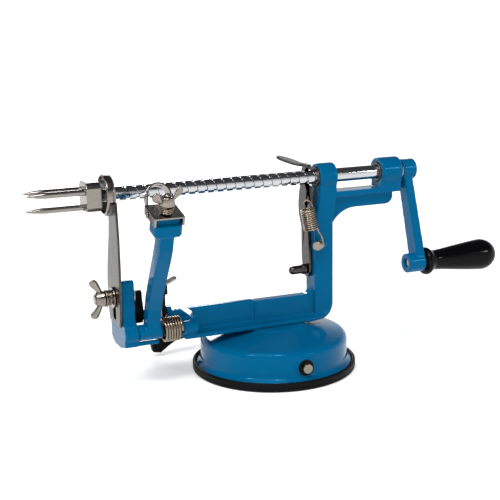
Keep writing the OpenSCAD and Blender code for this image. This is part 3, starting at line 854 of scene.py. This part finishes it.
    def wire(self, name: str, path: Sequence[Sequence[float]], radius: float, finish: str,
             sides: int = 14) -> bpy.types.Object:
        """Makes a wire along a path.

        Args:
            name: the piece's name.
            path: its points in millimetres.
            radius: the wire's radius in millimetres.
            finish: the finish's name.
            sides: how many sides the wire has.

        Returns:
            The piece.
        """
        line = bpy.data.meshes.new(name + "_path")
        line.from_pydata([Vector(p) * MM for p in path],
                         [(i, i + 1) for i in range(len(path) - 1)], [])
        piece = self.grown(name, line, self.wire_tree, Radius=radius * MM, Sides=sides,
                           Finish=self.finish[finish])
        piece.data.shade_smooth()
        piece.data.set_sharp_from_angle(angle=math.radians(60))
        return piece

    def threaded(self, name: str, finish: str, place: Matrix, start: float, end: float,
                 radius: float, chamfer: float, first: float, pitch: float, turns: int,
                 depth: float, width: float, columns: int = 64) -> bpy.types.Object:
        """Makes a rod with a helical groove and puts it in place.

        Args:
            name: the piece's name.
            finish: the finish's name.
            place: takes the rod, made along +X, to its place.
            start: where the rod starts, in millimetres like the rest.
            end: where it ends.
            radius: its outer radius.
            chamfer: the bevel at its ends.
            first: where the first groove starts.
            pitch: the thread's pitch.
            turns: how many turns it has.
            depth: the groove's depth.
            width: the groove's width at the surface.
            columns: steps round the rod.

        Returns:
            The piece.
        """
        piece = self.grown(name, bpy.data.meshes.new(name), self.thread_tree,
                           Start=start * MM, End=end * MM, Radius=radius * MM,
                           Chamfer=chamfer * MM, First_Groove=first * MM, Pitch=pitch * MM,
                           Turns=turns, Depth=depth * MM, Width=width * MM, Columns=columns,
                           Finish=self.finish[finish])
        piece.data.transform(place)
        self.outward(piece)
        piece.data.shade_smooth()
        piece.data.set_sharp_from_angle(angle=math.radians(38))
        return piece

    @staticmethod
    def outward(piece: bpy.types.Object) -> bpy.types.Object:
        """Turns a closed piece's faces outwards and returns it."""
        work = bmesh.new()
        work.from_mesh(piece.data)
        bmesh.ops.recalc_face_normals(work, faces=work.faces)
        work.to_mesh(piece.data)
        work.free()
        return piece

    def joined(self, name: str, pieces: Sequence[bpy.types.Object]) -> bpy.types.Object:
        """Puts several pieces' meshes into one object.

        Args:
            name: the new object's name.
            pieces: the pieces, which are used up.

        Returns:
            The joined piece.
        """
        work = bmesh.new()
        for piece in pieces:
            work.from_mesh(piece.data)
        mesh = bpy.data.meshes.new(name)
        work.to_mesh(mesh)
        work.free()
        for piece in pieces:
            bpy.data.objects.remove(piece)
        return self.object_of(name, mesh)

    # -- handing over

    def hand_over(self, piece: bpy.types.Object, finish: str, body: str, *nodes: str) -> None:
        """Gives a piece its finish, its body and the CAD nodes it stands for.

        Args:
            piece: the finished piece.
            finish: the finish's name.
            body: the CAD body it rides on.
            nodes: the CAD nodes it replaces.
        """
        piece.data.materials.clear()
        piece.data.materials.append(self.finish[finish])
        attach(piece, body)
        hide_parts(*nodes)
        triangles = sum(len(p.vertices) - 2 for p in piece.data.polygons)
        LOG.info("%s rides on %s, %d triangles", piece.name, body, triangles)

    def copy_over(self, node: str, finish: str, body: str, bevel: float = 0.2,
                  segments: int = 2, angle: float = 28.0) -> None:
        """Replaces a CAD node by a copy of itself with rounded edges.

        Args:
            node: the CAD node.
            finish: the finish's name.
            body: the body it rides on.
            bevel: the edge's rounding in millimetres.
            segments: steps across the rounding.
            angle: sharper edges than this many degrees are rounded.
        """
        piece = self.cad_copy(node, node + "_made")
        self.bevelled(piece, bevel, segments, angle)
        self.hand_over(piece, finish, body, node)


def centre_of(node: str) -> Vector:
    """Returns the middle of a CAD node's box, in millimetres."""
    low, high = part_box(node)
    return (low + high) / (2 * MM)


def arc(cx: float, cy: float, radius: float, first: float, last: float, steps: int
        ) -> list[tuple[float, float]]:
    """Points along a circular arc.

    Args:
        cx: the centre's first value.
        cy: the centre's second value.
        radius: the arc's radius.
        first: the first angle in degrees.
        last: the last angle in degrees.
        steps: how many steps it has.

    Returns:
        The points.
    """
    found = []
    for i in range(steps + 1):
        a = math.radians(first + (last - first) * i / steps)
        found.append((cx + radius * math.cos(a), cy + radius * math.sin(a)))
    return found


def eased(points: Sequence[Sequence[float]], steps: int = 6) -> list[Vector]:
    """Runs a smooth curve through a few points.

    Args:
        points: the points, in millimetres.
        steps: new points per stretch.

    Returns:
        The curve's points.
    """
    known = [Vector(p) for p in points]
    known = [known[0] * 2 - known[1], *known, known[-1] * 2 - known[-2]]
    found = []
    for a, b, c, d in zip(known, known[1:], known[2:], known[3:]):
        for i in range(steps):
            t = i / steps
            found.append(0.5 * ((2 * b) + (c - a) * t + (2 * a - 5 * b + 4 * c - d) * t * t
                                + (3 * b - a - 3 * c + d) * t ** 3))
    return [*found, known[-2]]


# ---------------------------------------------------------------- base


@dataclass
class SuctionBase:
    """Rubber cup, round housing, the lever's axle and what it lifts."""

    shop: Workshop
    cup_radius: float = 54.4
    foot_radius: float = 51.8
    lip_height: float = 6.0
    housing_radius: float = 48.8
    housing_height: float = 24.2
    seat_height: float = 30.3
    axle_height: float = 13.5

    def build(self) -> None:
        """Makes every piece of the base."""
        self.cup()
        self.housing()
        self.small_parts()

    def cup(self) -> None:
        """Turns the cup: a rolled lip with a shallow groove, and a flat membrane."""
        r, h = self.cup_radius, self.lip_height
        profile = [(0, 0), (r - 9, 0), (r - 8, 0.35), (r - 6.4, 0.35), (r - 5.4, 0),
                   *arc(r - 1.6, 1.6, 1.6, -90, -8, 8),
                   (r, 2.2), (r - 0.25, 2.5), (r, 2.8),
                   *arc(r - 1.15, h - 1.15, 1.15, 4, 176, 14),
                   (self.foot_radius + 0.34, h - 1.6), (self.foot_radius + 0.3, 3), (0, 3)]
        piece = self.shop.turned("rubber_cup", profile, Matrix.Identity(4), 160)
        self.shop.hand_over(self.shop.shaded(piece, 50), "rubber", "frame", "suction_cup")

    def housing(self) -> None:
        """Turns the housing with a flared foot, a soft shoulder and a raised seat."""
        r, h, seat = self.housing_radius, self.housing_height, self.seat_height
        wall = 1.8
        foot = self.foot_radius
        outer = [(foot, 3.05), (foot, 4.9), (foot - 0.12, 5.3), (foot - 0.5, 5.7),
                 (foot - 1.2, 6.25), (r + 1.0, 7.1), (r + 0.35, 8.0), (r, 9.2),
                 *arc(r - 4.6, h - 4.6, 4.6, 0, 74, 14)]
        x1, y1 = outer[-1]
        rise = [(x1 + (22.6 - x1) * t, y1 + (seat - 1.6 - y1) * t) for t in (0.3, 0.65, 1)]
        crown = [(21.6, seat - 0.9), (20.6, seat - 0.25), (19.6, seat), (4.3, seat)]
        inner = [(4.3, seat - 4.5), (19, seat - 4.5), (r - 6, h - 2.6), (r - wall - 1.2, h - 5),
                 (r - wall, h - 8), (r - wall, 3.05)]
        piece = self.shop.turned("base_cover", outer + rise + crown + inner,
                                 Matrix.Identity(4), 192)
        bosses = []
        for side in (-1, 1):
            place = (Matrix.Translation((0, side * 41 * MM, self.axle_height * MM))
                     @ Matrix.Rotation(-side * math.pi / 2, 4, "X"))
            profile = [(4.42, 0), (6.5, 0), (6.5, 7.9), (6.3, 8.2), (5.9, 8.35), (4.42, 8.35)]
            bosses.append(self.shop.turned("boss", profile, place, 48))
        piece = self.shop.shaded(self.shop.joined("base_cover", [piece, *bosses]), 50)
        self.shop.hand_over(piece, "enamel", "frame", "base_housing")

    def small_parts(self) -> None:
        """Dresses the bushings, the bolts, the axle, the lever, its grip and the stud."""
        shop = self.shop
        shop.copy_over("axle_bushings", "rubber", "frame", 0.35, 3)
        shop.copy_over("base_bolts", "nickel", "frame", 0.25)
        shop.copy_over("cam_axle", "nickel", "suction", 0.4, 3)
        shop.copy_over("suction_lever", "plate", "suction", 0.3)
        shop.copy_over("lever_grip", "rubber", "suction", 0.7, 3, 40)
        shop.copy_over("pull_stud", "handle", "stud", 0.3)


# ---------------------------------------------------------------- casting


@dataclass
class Casting:
    """The one-piece frame with its bronze sleeves."""

    shop: Workshop
    voxel: float = 0.5
    rounds: int = 12

    def build(self) -> None:
        """Makes the casting and its sleeves."""
        shop = self.shop
        piece = shop.cad_copy("cast_frame", "frame_casting", 0)
        shop.hand_over(shop.cast_skin(piece, self.voxel, self.rounds), "enamel", "frame",
                       "cast_frame")
        shop.copy_over("post_bushing", "bronze", "frame", 0.25, 3)
        shop.copy_over("outer_bushing", "bronze", "frame", 0.25, 3)


# ---------------------------------------------------------------- spindle


@dataclass
class FeedSpindle:
    """Feed screw, its plain ends, the thrust washer and the fork."""

    shop: Workshop
    radius: float = 4.6
    pitch: float = 6.35
    turns: int = 22
    groove_depth: float = 0.9
    groove_width: float = 2.3
    first_groove: float = -106.95
    prong_circle: float = 6.6
    prong_radius: float = 1.85

    def build(self) -> None:
        """Makes the screw, the shaft ends and the fork."""
        self.axis = centre_of("crank_shaft")
        self.place = Matrix.Translation((0, self.axis.y * MM, self.axis.z * MM))
        self.screw()
        self.shaft()
        self.fork()

    def screw(self) -> None:
        """Cuts the feed thread."""
        low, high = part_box("feed_screw")
        piece = self.shop.threaded(
            "feed_thread", "chrome", self.place, start=low.x / MM, end=high.x / MM,
            radius=self.radius, chamfer=0.0, first=self.first_groove, pitch=self.pitch,
            turns=self.turns, depth=self.groove_depth, width=self.groove_width, columns=72)
        self.shop.hand_over(piece, "chrome", "spindle", "feed_screw")

    def shaft(self) -> None:
        """Dresses the plain ends and the washer."""
        shop = self.shop
        shop.copy_over("crank_shaft", "chrome", "spindle", 0.5, 3)
        shop.copy_over("thrust_washer", "nickel", "carriage", 0.15)

    def fork(self) -> None:
        """Grinds three pointed prongs and rounds their block."""
        shop = self.shop
        r = self.prong_radius
        low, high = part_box("fork_prongs")
        length = (high.x - low.x) / MM
        profile = [(0, 0), (r, 0), (r, length * 0.7), (r * 0.97, length * 0.74),
                   (r * 0.8, length * 0.83), (r * 0.45, length * 0.94),
                   (r * 0.2, length * 0.985), (0, length)]
        place = (Matrix.Translation((high.x, self.prong_circle * MM, 0))
                 @ Matrix.Rotation(-math.pi / 2, 4, "Y"))
        prong = shop.turned("prong", profile, place, 36)
        mesh = prong.data
        bpy.data.objects.remove(prong)
        ring = shop.grown("prongs", mesh, shop.ring_tree, Count=3,
                          First_Angle=math.radians(30), Finish=shop.finish["bright_plate"])
        ring.data.transform(self.place)
        shop.hand_over(shop.shaded(ring, 50), "bright_plate", "spindle", "fork_prongs")
        shop.copy_over("fork_block", "bright_plate", "spindle", 0.6, 3)


# ---------------------------------------------------------------- crank


@dataclass
class Crank:
    """Cast crank arm, its screw, the handle's pin and the turned handle."""

    shop: Workshop
    voxel: float = 0.42

    def build(self) -> None:
        """Makes the crank's pieces."""
        shop = self.shop
        piece = shop.cad_copy("crank_arm", "crank_casting", 0)
        shop.hand_over(shop.cast_skin(piece, self.voxel, 12), "enamel", "spindle", "crank_arm")
        shop.copy_over("crank_set_screw", "oxide", "spindle", 0.12)
        shop.copy_over("handle_pin", "nickel", "spindle", 0.4, 3)
        self.handle()

    def handle(self) -> None:
        """Turns the handle: a flange, a neck and a swelling grip with a domed end."""
        low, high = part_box("crank_handle")
        length = (high.x - low.x) / MM
        outer = [(3.1, 0.4), (3.5, 0), (7.4, 0), (8.4, 0.25), (9.1, 1.0), (9.4, 2.1), (9.3, 3.1),
                 (8.8, 4.2), (8.0, 5.2), (7.3, 6.3), (6.9, 7.6), (6.8, 9.2), (6.85, 11),
                 (7.05, 14), (7.4, 17), (7.8, 20), (8.3, 24), (8.75, 28), (9.25, 32),
                 (9.7, 36), (10.1, 40), (10.4, 43)]
        dome = [(10.6 * math.cos(math.radians(a)),
                 46.2 + (length - 46.2) * math.sin(math.radians(a)))
                for a in range(0, 90, 6)]
        end = [(0.9, length - 0.03), (0, length - 0.05), (0, length - 5.4), (4.4, length - 5.6),
               (4.5, 50.4), (3.1, 50.2)]
        place = Matrix.Translation((low.x, centre_of("crank_handle").y * MM,
                                    centre_of("crank_handle").z * MM)) @ Axis.X.matrix()
        piece = self.shop.turned("turned_handle", outer + dome + end, place, 96)
        self.shop.hand_over(self.shop.shaded(piece, 50), "handle", "handle", "crank_handle")


# ---------------------------------------------------------------- release gear


@dataclass
class ReleaseGear:
    """Release lever, its bolt, and the spring with the screw that holds it."""

    shop: Workshop
    top: Point = (19.9, -12.0, 106.5)
    bottom: Point = (23.1, -11.0, 92.6)
    coil_radius: float = 4.3
    wire_radius: float = 0.58
    coil_turns: float = 10.0
    upper_hook: tuple[Point, ...] = ((28.0, 1.2, 106.8), (25.2, 1.2, 106.9), (23.9, 0.4, 107.9),
                                     (23.4, -1.4, 109.6), (23.5, -4.0, 110.8),
                                     (23.9, -7.0, 110.8), (24.3, -9.8, 109.2))
    lower_hook: tuple[Point, ...] = ((28.4, -11.2, 90.4), (29.9, -11.7, 88.0),
                                     (30.7, -12.1, 85.2), (30.75, -12.21, 82.4),
                                     (30.6, -12.07, 80.2), (29.3, -10.8, 78.9),
                                     (27.7, -9.2, 79.7))

    def build(self) -> None:
        """Makes the lever, its bolt, the spring and its screw."""
        shop = self.shop
        shop.copy_over("release_lever", "plate", "release", 0.28, 3)
        shop.copy_over("release_bolt", "plate", "frame", 0.4, 3)
        shop.copy_over("spring_screw", "nickel", "frame", 0.4, 3)
        self.spring()

    def spring(self) -> None:
        """Winds the extension spring between its two hooks."""
        a, b = Vector(self.top), Vector(self.bottom)
        axis = (b - a).normalized()
        side = (Vector((1, 0, 0)) - axis * axis.x).normalized()
        other = axis.cross(side)
        steps = int(self.coil_turns * 28)
        body = []
        for i in range(steps + 1):
            turn = math.tau * self.coil_turns * i / steps
            body.append(a + self.coil_radius * (math.cos(turn) * side + math.sin(turn) * other)
                        + axis * (b - a).length * i / steps)
        path = [*eased([*self.upper_hook, body[0]]), *body[1:-1],
                *eased([body[-1], *self.lower_hook])]
        piece = self.shop.wire("release_coil", path, self.wire_radius, "spring")
        self.shop.hand_over(piece, "spring", "frame", "release_spring")


# ---------------------------------------------------------------- wing nuts


@dataclass
class WingNut:
    """A cast wing nut: a tapered hub and two petals."""

    shop: Workshop
    name: str
    node: str
    body: str
    place: Matrix
    bore: float
    hub_radius: float
    hub_height: float
    reach: float
    wing_height: float
    petal: float = 2.3

    def build(self) -> None:
        """Makes the hub and the petals as one piece."""
        shop = self.shop
        r, h, b = self.hub_radius, self.hub_height, self.bore
        profile = [(b + 0.35, 0), (r - 0.3, 0), (r, 0.3), (r, 0.9), (r * 0.92, h * 0.5),
                   (r * 0.8, h - 0.4), (r * 0.72, h), (b + 0.4, h), (b, h - 0.35), (b, 0.35)]
        hub = shop.turned("hub", profile, self.place, 48)
        petals = [self.wing(side) for side in (-1, 1)]
        piece = shop.joined(self.name, [hub, *petals])
        piece.data.shade_smooth()
        piece.data.set_sharp_from_angle(angle=math.radians(50))
        shop.hand_over(piece, "nickel", self.body, self.node)

    def wing(self, side: int) -> bpy.types.Object:
        """Makes one petal, thick at the hub and round at its tip.

        Args:
            side: 1 or -1.

        Returns:
            The petal.
        """
        r, h, out, top = self.hub_radius, self.hub_height, self.reach, self.wing_height
        line = [(r * 0.45, h * 0.42, 0.75), (r * 0.95, h * 0.52, 0.9),
                (out * 0.66, top * 0.55, 1.0), (out * 0.8, top * 0.7, 1.0),
                (out * 0.9, top * 0.82, 0.85)]
        spread = (0.34 * h, 0.3 * h, 0.26 * top, 0.3 * top, 0.16 * top)
        points: list[Vector] = []
        slope = Vector((out * 0.6, 0, top * 0.55)).normalized()
        across = Vector((-slope.z, 0, slope.x))
        for (u, w, thick), half in zip(line, spread):
            for s, t in ((-1, -1), (1, -1), (1, 1), (-1, 1)):
                p = Vector((u, 0, w)) + across * half * s
                p.y = self.petal / 2 * thick * t
                points.append(self.place @ (Vector((p.x * side, p.y, p.z)) * MM))
        faces = [(0, 1, 2, 3), (16, 17, 18, 19)]
        for i in range(len(line) - 1):
            for k in range(4):
                n = (k + 1) % 4
                faces.append((i * 4 + k, i * 4 + n, i * 4 + 4 + n, i * 4 + 4 + k))
        cage = self.shop.object_of("petal", self.shop.mesh_from("petal", points, faces))
        return self.shop.subdivided(cage, 3)


# ---------------------------------------------------------------- peeling arm


@dataclass
class PeelingArm:
    """Sprung arm, blade holder, blade and what clamps it."""

    shop: Workshop
    origin: Point = (-86.4, -49.0, 111.4)
    slope: float = 16.0
    voxel: float = 0.42
    spring_start: float = -80.2
    spring_length: float = 10.6
    spring_radius: float = 7.1
    spring_turns: float = 6.25
    spring_wire: float = 0.82
    lead: tuple[Point, ...] = ((-81.9, -14.0, 57.6), (-81.8, -12.9, 52.6), (-81.2, -11.7, 47.6))

    def build(self) -> None:
        """Makes the arm's pieces."""
        shop = self.shop
        self.holder = (Matrix.Translation(Vector(self.origin) * MM)
                       @ Matrix.Rotation(math.radians(self.slope), 4, "X"))
        piece = shop.cad_copy("peeler_arm", "arm_casting", 0)
        shop.hand_over(shop.cast_skin(piece, self.voxel, 16), "enamel", "peeler", "peeler_arm")
        shop.copy_over("blade_holder", "bright_plate", "peeler", 0.22, 3)
        shop.copy_over("peeling_blade", "bright_plate", "peeler", 0.12)
        shop.copy_over("blade_rivets", "nickel", "peeler", 0.3, 3)
        shop.copy_over("pivot_rod", "nickel", "frame", 0.4, 3)
        self.screw()
        self.coil()
        WingNut(shop, "arm_wing_nut", "blade_wing_nut", "blade_nut",
                self.holder @ Matrix.Translation(Vector((0, 5.4, 11.7)) * MM)
                @ Matrix.Rotation(math.radians(22), 4, "Z"),
                bore=2.06, hub_radius=4.6, hub_height=5.4, reach=12.0,
                wing_height=10.4).build()

    def screw(self) -> None:
        """Cuts the standing screw and winds the small spring round it."""
        shop = self.shop
        stand = (self.holder @ Matrix.Translation(Vector((0, 5.4, 0)) * MM)
                 @ Matrix.Rotation(-math.pi / 2, 4, "Y"))
        piece = shop.threaded("holder_screw", "nickel", stand, start=-4.0, end=18.4,
                              radius=2.0, chamfer=0.3, first=5.6, pitch=0.7, turns=17,
                              depth=0.3, width=0.62, columns=40)
        shop.hand_over(piece, "nickel", "peeler", "blade_screw")
        turns, steps = 3.6, 100
        path = []
        for i in range(steps + 1):
            a = math.radians(30) + math.tau * turns * i / steps
            point = Vector((3.4 * math.cos(a), 5.4 + 3.4 * math.sin(a), 6.9 + 4 * i / steps))
            path.append((self.holder @ (point * MM)) / MM)
        shop.hand_over(shop.wire("holder_coil", path, 0.52, "spring"), "spring", "peeler",
                       "blade_spring")

    def coil(self) -> None:
        """Winds the torsion spring round the pivot."""
        pivot = centre_of("pivot_rod")
        steps = int(self.spring_turns * 36)
        body = []
        for i in range(steps + 1):
            a = math.radians(90) + math.tau * self.spring_turns * i / steps
            body.append(Vector((self.spring_start + self.spring_length * i / steps,
                                pivot.y + self.spring_radius * math.cos(a),
                                pivot.z + self.spring_radius * math.sin(a))))
        path = [*eased([*self.lead, body[0]]), *body[1:]]
        piece = self.shop.wire("arm_coil", path, self.spring_wire, "spring", 16)
        self.shop.hand_over(piece, "spring", "frame", "torsion_spring")


# ---------------------------------------------------------------- slicing plate


@dataclass
class SlicingPlate:
    """Plate with its coring ring, and the bolt, washers, spring and nut that clamp it."""

    shop: Workshop
    ring_inner: float = 11.25
    ring_wall: float = 1.2
    head_start: float = -97.45

    def build(self) -> None:
        """Makes the plate's pieces."""
        shop = self.shop
        shop.copy_over("corer_plate", "plate", "corer", 0.22, 2)
        self.ring()
        self.bolt()
        shop.copy_over("corer_washers", "nickel", "frame", 0.18)
        axis = centre_of("corer_bolt")
        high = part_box("corer_wing_nut")[1]
        place = (Matrix.Translation((high.x, axis.y * MM, axis.z * MM))
                 @ Matrix.Rotation(-math.pi / 2, 4, "Y"))
        WingNut(shop, "plate_wing_nut", "corer_wing_nut", "corer_nut", place, bore=3.06,
                hub_radius=5.2, hub_height=5.6, reach=13.4, wing_height=10.0,
                petal=2.5).build()

    def ring(self) -> None:
        """Turns the ring with a ground edge at both ends."""
        low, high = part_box("corer_ring")
        r, t = self.ring_inner, self.ring_wall
        w = (high.x - low.x) / MM
        profile = [(r, 0.15), (r + 0.2, 0), (r + t - 0.25, 0.35), (r + t, 0.75),
                   (r + t, w - 1.5), (r + t - 0.15, w - 1.15), (r + 0.3, w - 0.05), (r, w)]
        centre = centre_of("corer_ring")
        place = Matrix.Translation((low.x, centre.y * MM, centre.z * MM)) @ Axis.X.matrix()
        piece = self.shop.turned("coring_ring", profile, place, 128)
        self.shop.hand_over(self.shop.shaded(piece, 35), "bright_plate", "corer", "corer_ring")

    def bolt(self) -> None:
        """Cuts the clamp bolt's thread and winds its spring."""
        shop = self.shop
        axis = centre_of("corer_bolt")
        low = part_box("corer_bolt")[0]
        place = Matrix.Translation((0, axis.y * MM, axis.z * MM))
        rod = shop.threaded("stem", "nickel", place, start=low.x / MM,
                            end=self.head_start + 0.9, radius=3.0, chamfer=0.4, first=-119.6,
                            pitch=1.0, turns=9, depth=0.45, width=0.9, columns=48)
        head = shop.turned("head", [(0, 0), (5.6, 0), (6.0, 0.4), (6.0, 1.5), (5.2, 2.15),
                                    (3.0, 2.34), (0, 2.35)],
                           Matrix.Translation((self.head_start * MM, axis.y * MM, axis.z * MM))
                           @ Axis.X.matrix(), 48)
        piece = shop.shaded(shop.joined("clamp_bolt", [rod, head]), 38)
        shop.hand_over(piece, "nickel", "frame", "corer_bolt")
        turns, steps = 2.4, 72
        path = []
        for i in range(steps + 1):
            a = math.tau * turns * i / steps
            path.append((-112.05 + 2.2 * i / steps, axis.y + 4.5 * math.cos(a),
                         axis.z + 4.5 * math.sin(a)))
        shop.hand_over(shop.wire("clamp_coil", path, 0.48, "spring"), "spring", "frame",
                       "corer_spring")


# ---------------------------------------------------------------- arm latch


@dataclass
class ArmLatch:
    """Rocker that holds the arm back, with its pin and thumb wing."""

    shop: Workshop

    def build(self) -> None:
        """Dresses the latch."""
        shop = self.shop
        shop.copy_over("arm_latch", "oxide", "latch", 0.5, 3)
        shop.copy_over("latch_thumb", "nickel", "latch", 0.4, 3)
        shop.copy_over("latch_pin", "nickel", "frame", 0.3)


# ---------------------------------------------------------------- studio


@dataclass
class Studio:
    """Pale flat floor, soft lights and the camera."""

    shop: Workshop
    eye: Point = (-269.74, -602.81, 228.38)
    heading: float = 22.82
    pitch: float = 14.11
    roll: float = -1.1
    lens: float = 74.475
    shift: float = 0.0504
    floor_radius: float = 1.2

    def build(self) -> None:
        """Sets up camera, floor, sky and lights."""
        self.camera()
        self.floor()
        self.sky()
        self.sun()
        self.light("key_panel", (-0.85, -0.35, 0.95), 0.18, 3.6)
        self.light("shoulder_panel", (-0.2, -0.7, 1.15), 0.18, 3.0)
        self.light("front_panel", (0.75, -0.95, 0.6), 0.16, 1.4)
        self.light("back_panel", (0.23, 1.05, 0.56), 0.34, 4.0)

    def camera(self) -> None:
        """Places the camera."""
        e, r = math.radians(self.pitch), math.radians(self.roll)
        h = math.radians(self.heading)
        ahead = Vector((math.sin(h) * math.cos(e), math.cos(h) * math.cos(e), -math.sin(e)))
        right = Vector((math.cos(h), -math.sin(h), 0))
        up = right.cross(ahead)
        right, up = (right * math.cos(r) + up * math.sin(r),
                     up * math.cos(r) - right * math.sin(r))
        data = bpy.data.cameras.new("camera")
        data.lens = self.lens
        data.sensor_width = 36.0
        data.shift_y = self.shift
        data.clip_start = 0.02
        data.clip_end = 30.0
        camera = bpy.data.objects.new("camera", data)
        turn = Matrix((right, up, -ahead)).transposed().to_4x4()
        camera.matrix_world = Matrix.Translation(Vector(self.eye) * MM) @ turn
        bpy.context.scene.collection.objects.link(camera)
        bpy.context.scene.camera = camera

    def floor(self) -> None:
        """Makes a wide round floor."""
        rings = (0.0, 0.3, 0.7, self.floor_radius)
        segments, points, faces = 96, [], []
        for j in range(segments):
            a = math.tau * j / segments
            points += [(r * math.cos(a), r * math.sin(a), 0.0) for r in rings]
        n = len(rings)
        for j in range(segments):
            k = (j + 1) % segments
            for i in range(n - 1):
                faces.append((j * n + i, j * n + i + 1, k * n + i + 1, k * n + i))
        mesh = self.shop.mesh_from("floor", points, faces)
        mesh.shade_smooth()
        material, board, shader = shader_start(
            "studio_paper", 0.0, Specular_IOR_Level=0.1, Roughness=0.8,
            Emission_Color=(1.0, 1.0, 1.0, 1.0), Emission_Strength=0.42)
        place = board.add("ShaderNodeTexCoord").outputs["Object"]
        fleck = board.add("ShaderNodeTexNoise", {"Vector": place, "Scale": 3.0})
        tone = board.blend(fleck.outputs[0], (0.8, 0.8, 0.8, 1), (0.84, 0.84, 0.84, 1))
        board.feed(shader.inputs["Base Color"], tone)
        mesh.materials.append(material)
        self.shop.object_of("floor", mesh)

    def sky(self) -> None:
        """Lights the room from the horizon and leaves it dark above."""
        world = bpy.data.worlds.new("room")
        bpy.context.scene.world = world
        world.use_nodes = True
        world.node_tree.nodes.clear()
        board = Board(world.node_tree)
        ray = board.add("ShaderNodeTexCoord").outputs["Generated"]
        height = board.add("ShaderNodeSeparateXYZ", {0: ray}).outputs[2]
        ramp = board.add("ShaderNodeValToRGB", {0: height})
        stops = ramp.color_ramp.elements
        stops[0].position, stops[0].color = 0.0, (1.0, 1.0, 1.0, 1)
        stops[1].position, stops[1].color = 1.0, (0.05, 0.05, 0.055, 1)
        for position, grey in ((0.12, 1.0), (0.3, 0.55), (0.5, 0.09)):
            stop = stops.new(position)
            stop.color = (grey, grey, grey * 1.02, 1)
        glow = board.add("ShaderNodeBackground", {"Color": ramp.outputs[0], "Strength": 1.04})
        out = board.add("ShaderNodeOutputWorld")
        board.feed(out.inputs["Surface"], glow.outputs[0])

    @staticmethod
    def sun() -> None:
        """Adds one wide soft sun that lights the floor evenly."""
        data = bpy.data.lights.new("soft_sun", "SUN")
        data.energy = 1.7
        data.angle = math.radians(50)
        lamp = bpy.data.objects.new("soft_sun", data)
        aim = Vector((0.38, 0.42, -1.0))
        lamp.matrix_world = aim.to_track_quat("-Z", "Y").to_matrix().to_4x4()
        bpy.context.scene.collection.objects.link(lamp)

    @staticmethod
    def light(name: str, place: Point, size: float, power: float) -> None:
        """Adds a soft panel aimed at the part.

        Args:
            name: the light's name.
            place: its place in metres.
            size: its edge in metres.
            power: its power in watts.
        """
        data = bpy.data.lights.new(name, "AREA")
        data.size = size
        data.energy = power
        lamp = bpy.data.objects.new(name, data)
        aim = Vector((0, 0, 0.07)) - Vector(place)
        lamp.matrix_world = (Matrix.Translation(place)
                             @ aim.to_track_quat("-Z", "Y").to_matrix().to_4x4())
        bpy.context.scene.collection.objects.link(lamp)


def main() -> None:
    """Builds every sub-assembly around the frame."""
    logging.basicConfig(level=logging.INFO, format="%(message)s")
    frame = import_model()
    shop = Workshop(frame)
    for part in (Studio, SuctionBase, Casting, FeedSpindle, Crank, ReleaseGear, PeelingArm,
                 SlicingPlate, ArmLatch):
        part(shop).build()
        LOG.info("%s is built", part.__name__)
    settings = bpy.context.scene.view_settings
    settings.view_transform = "Standard"


if __name__ == "__main__":
    main()
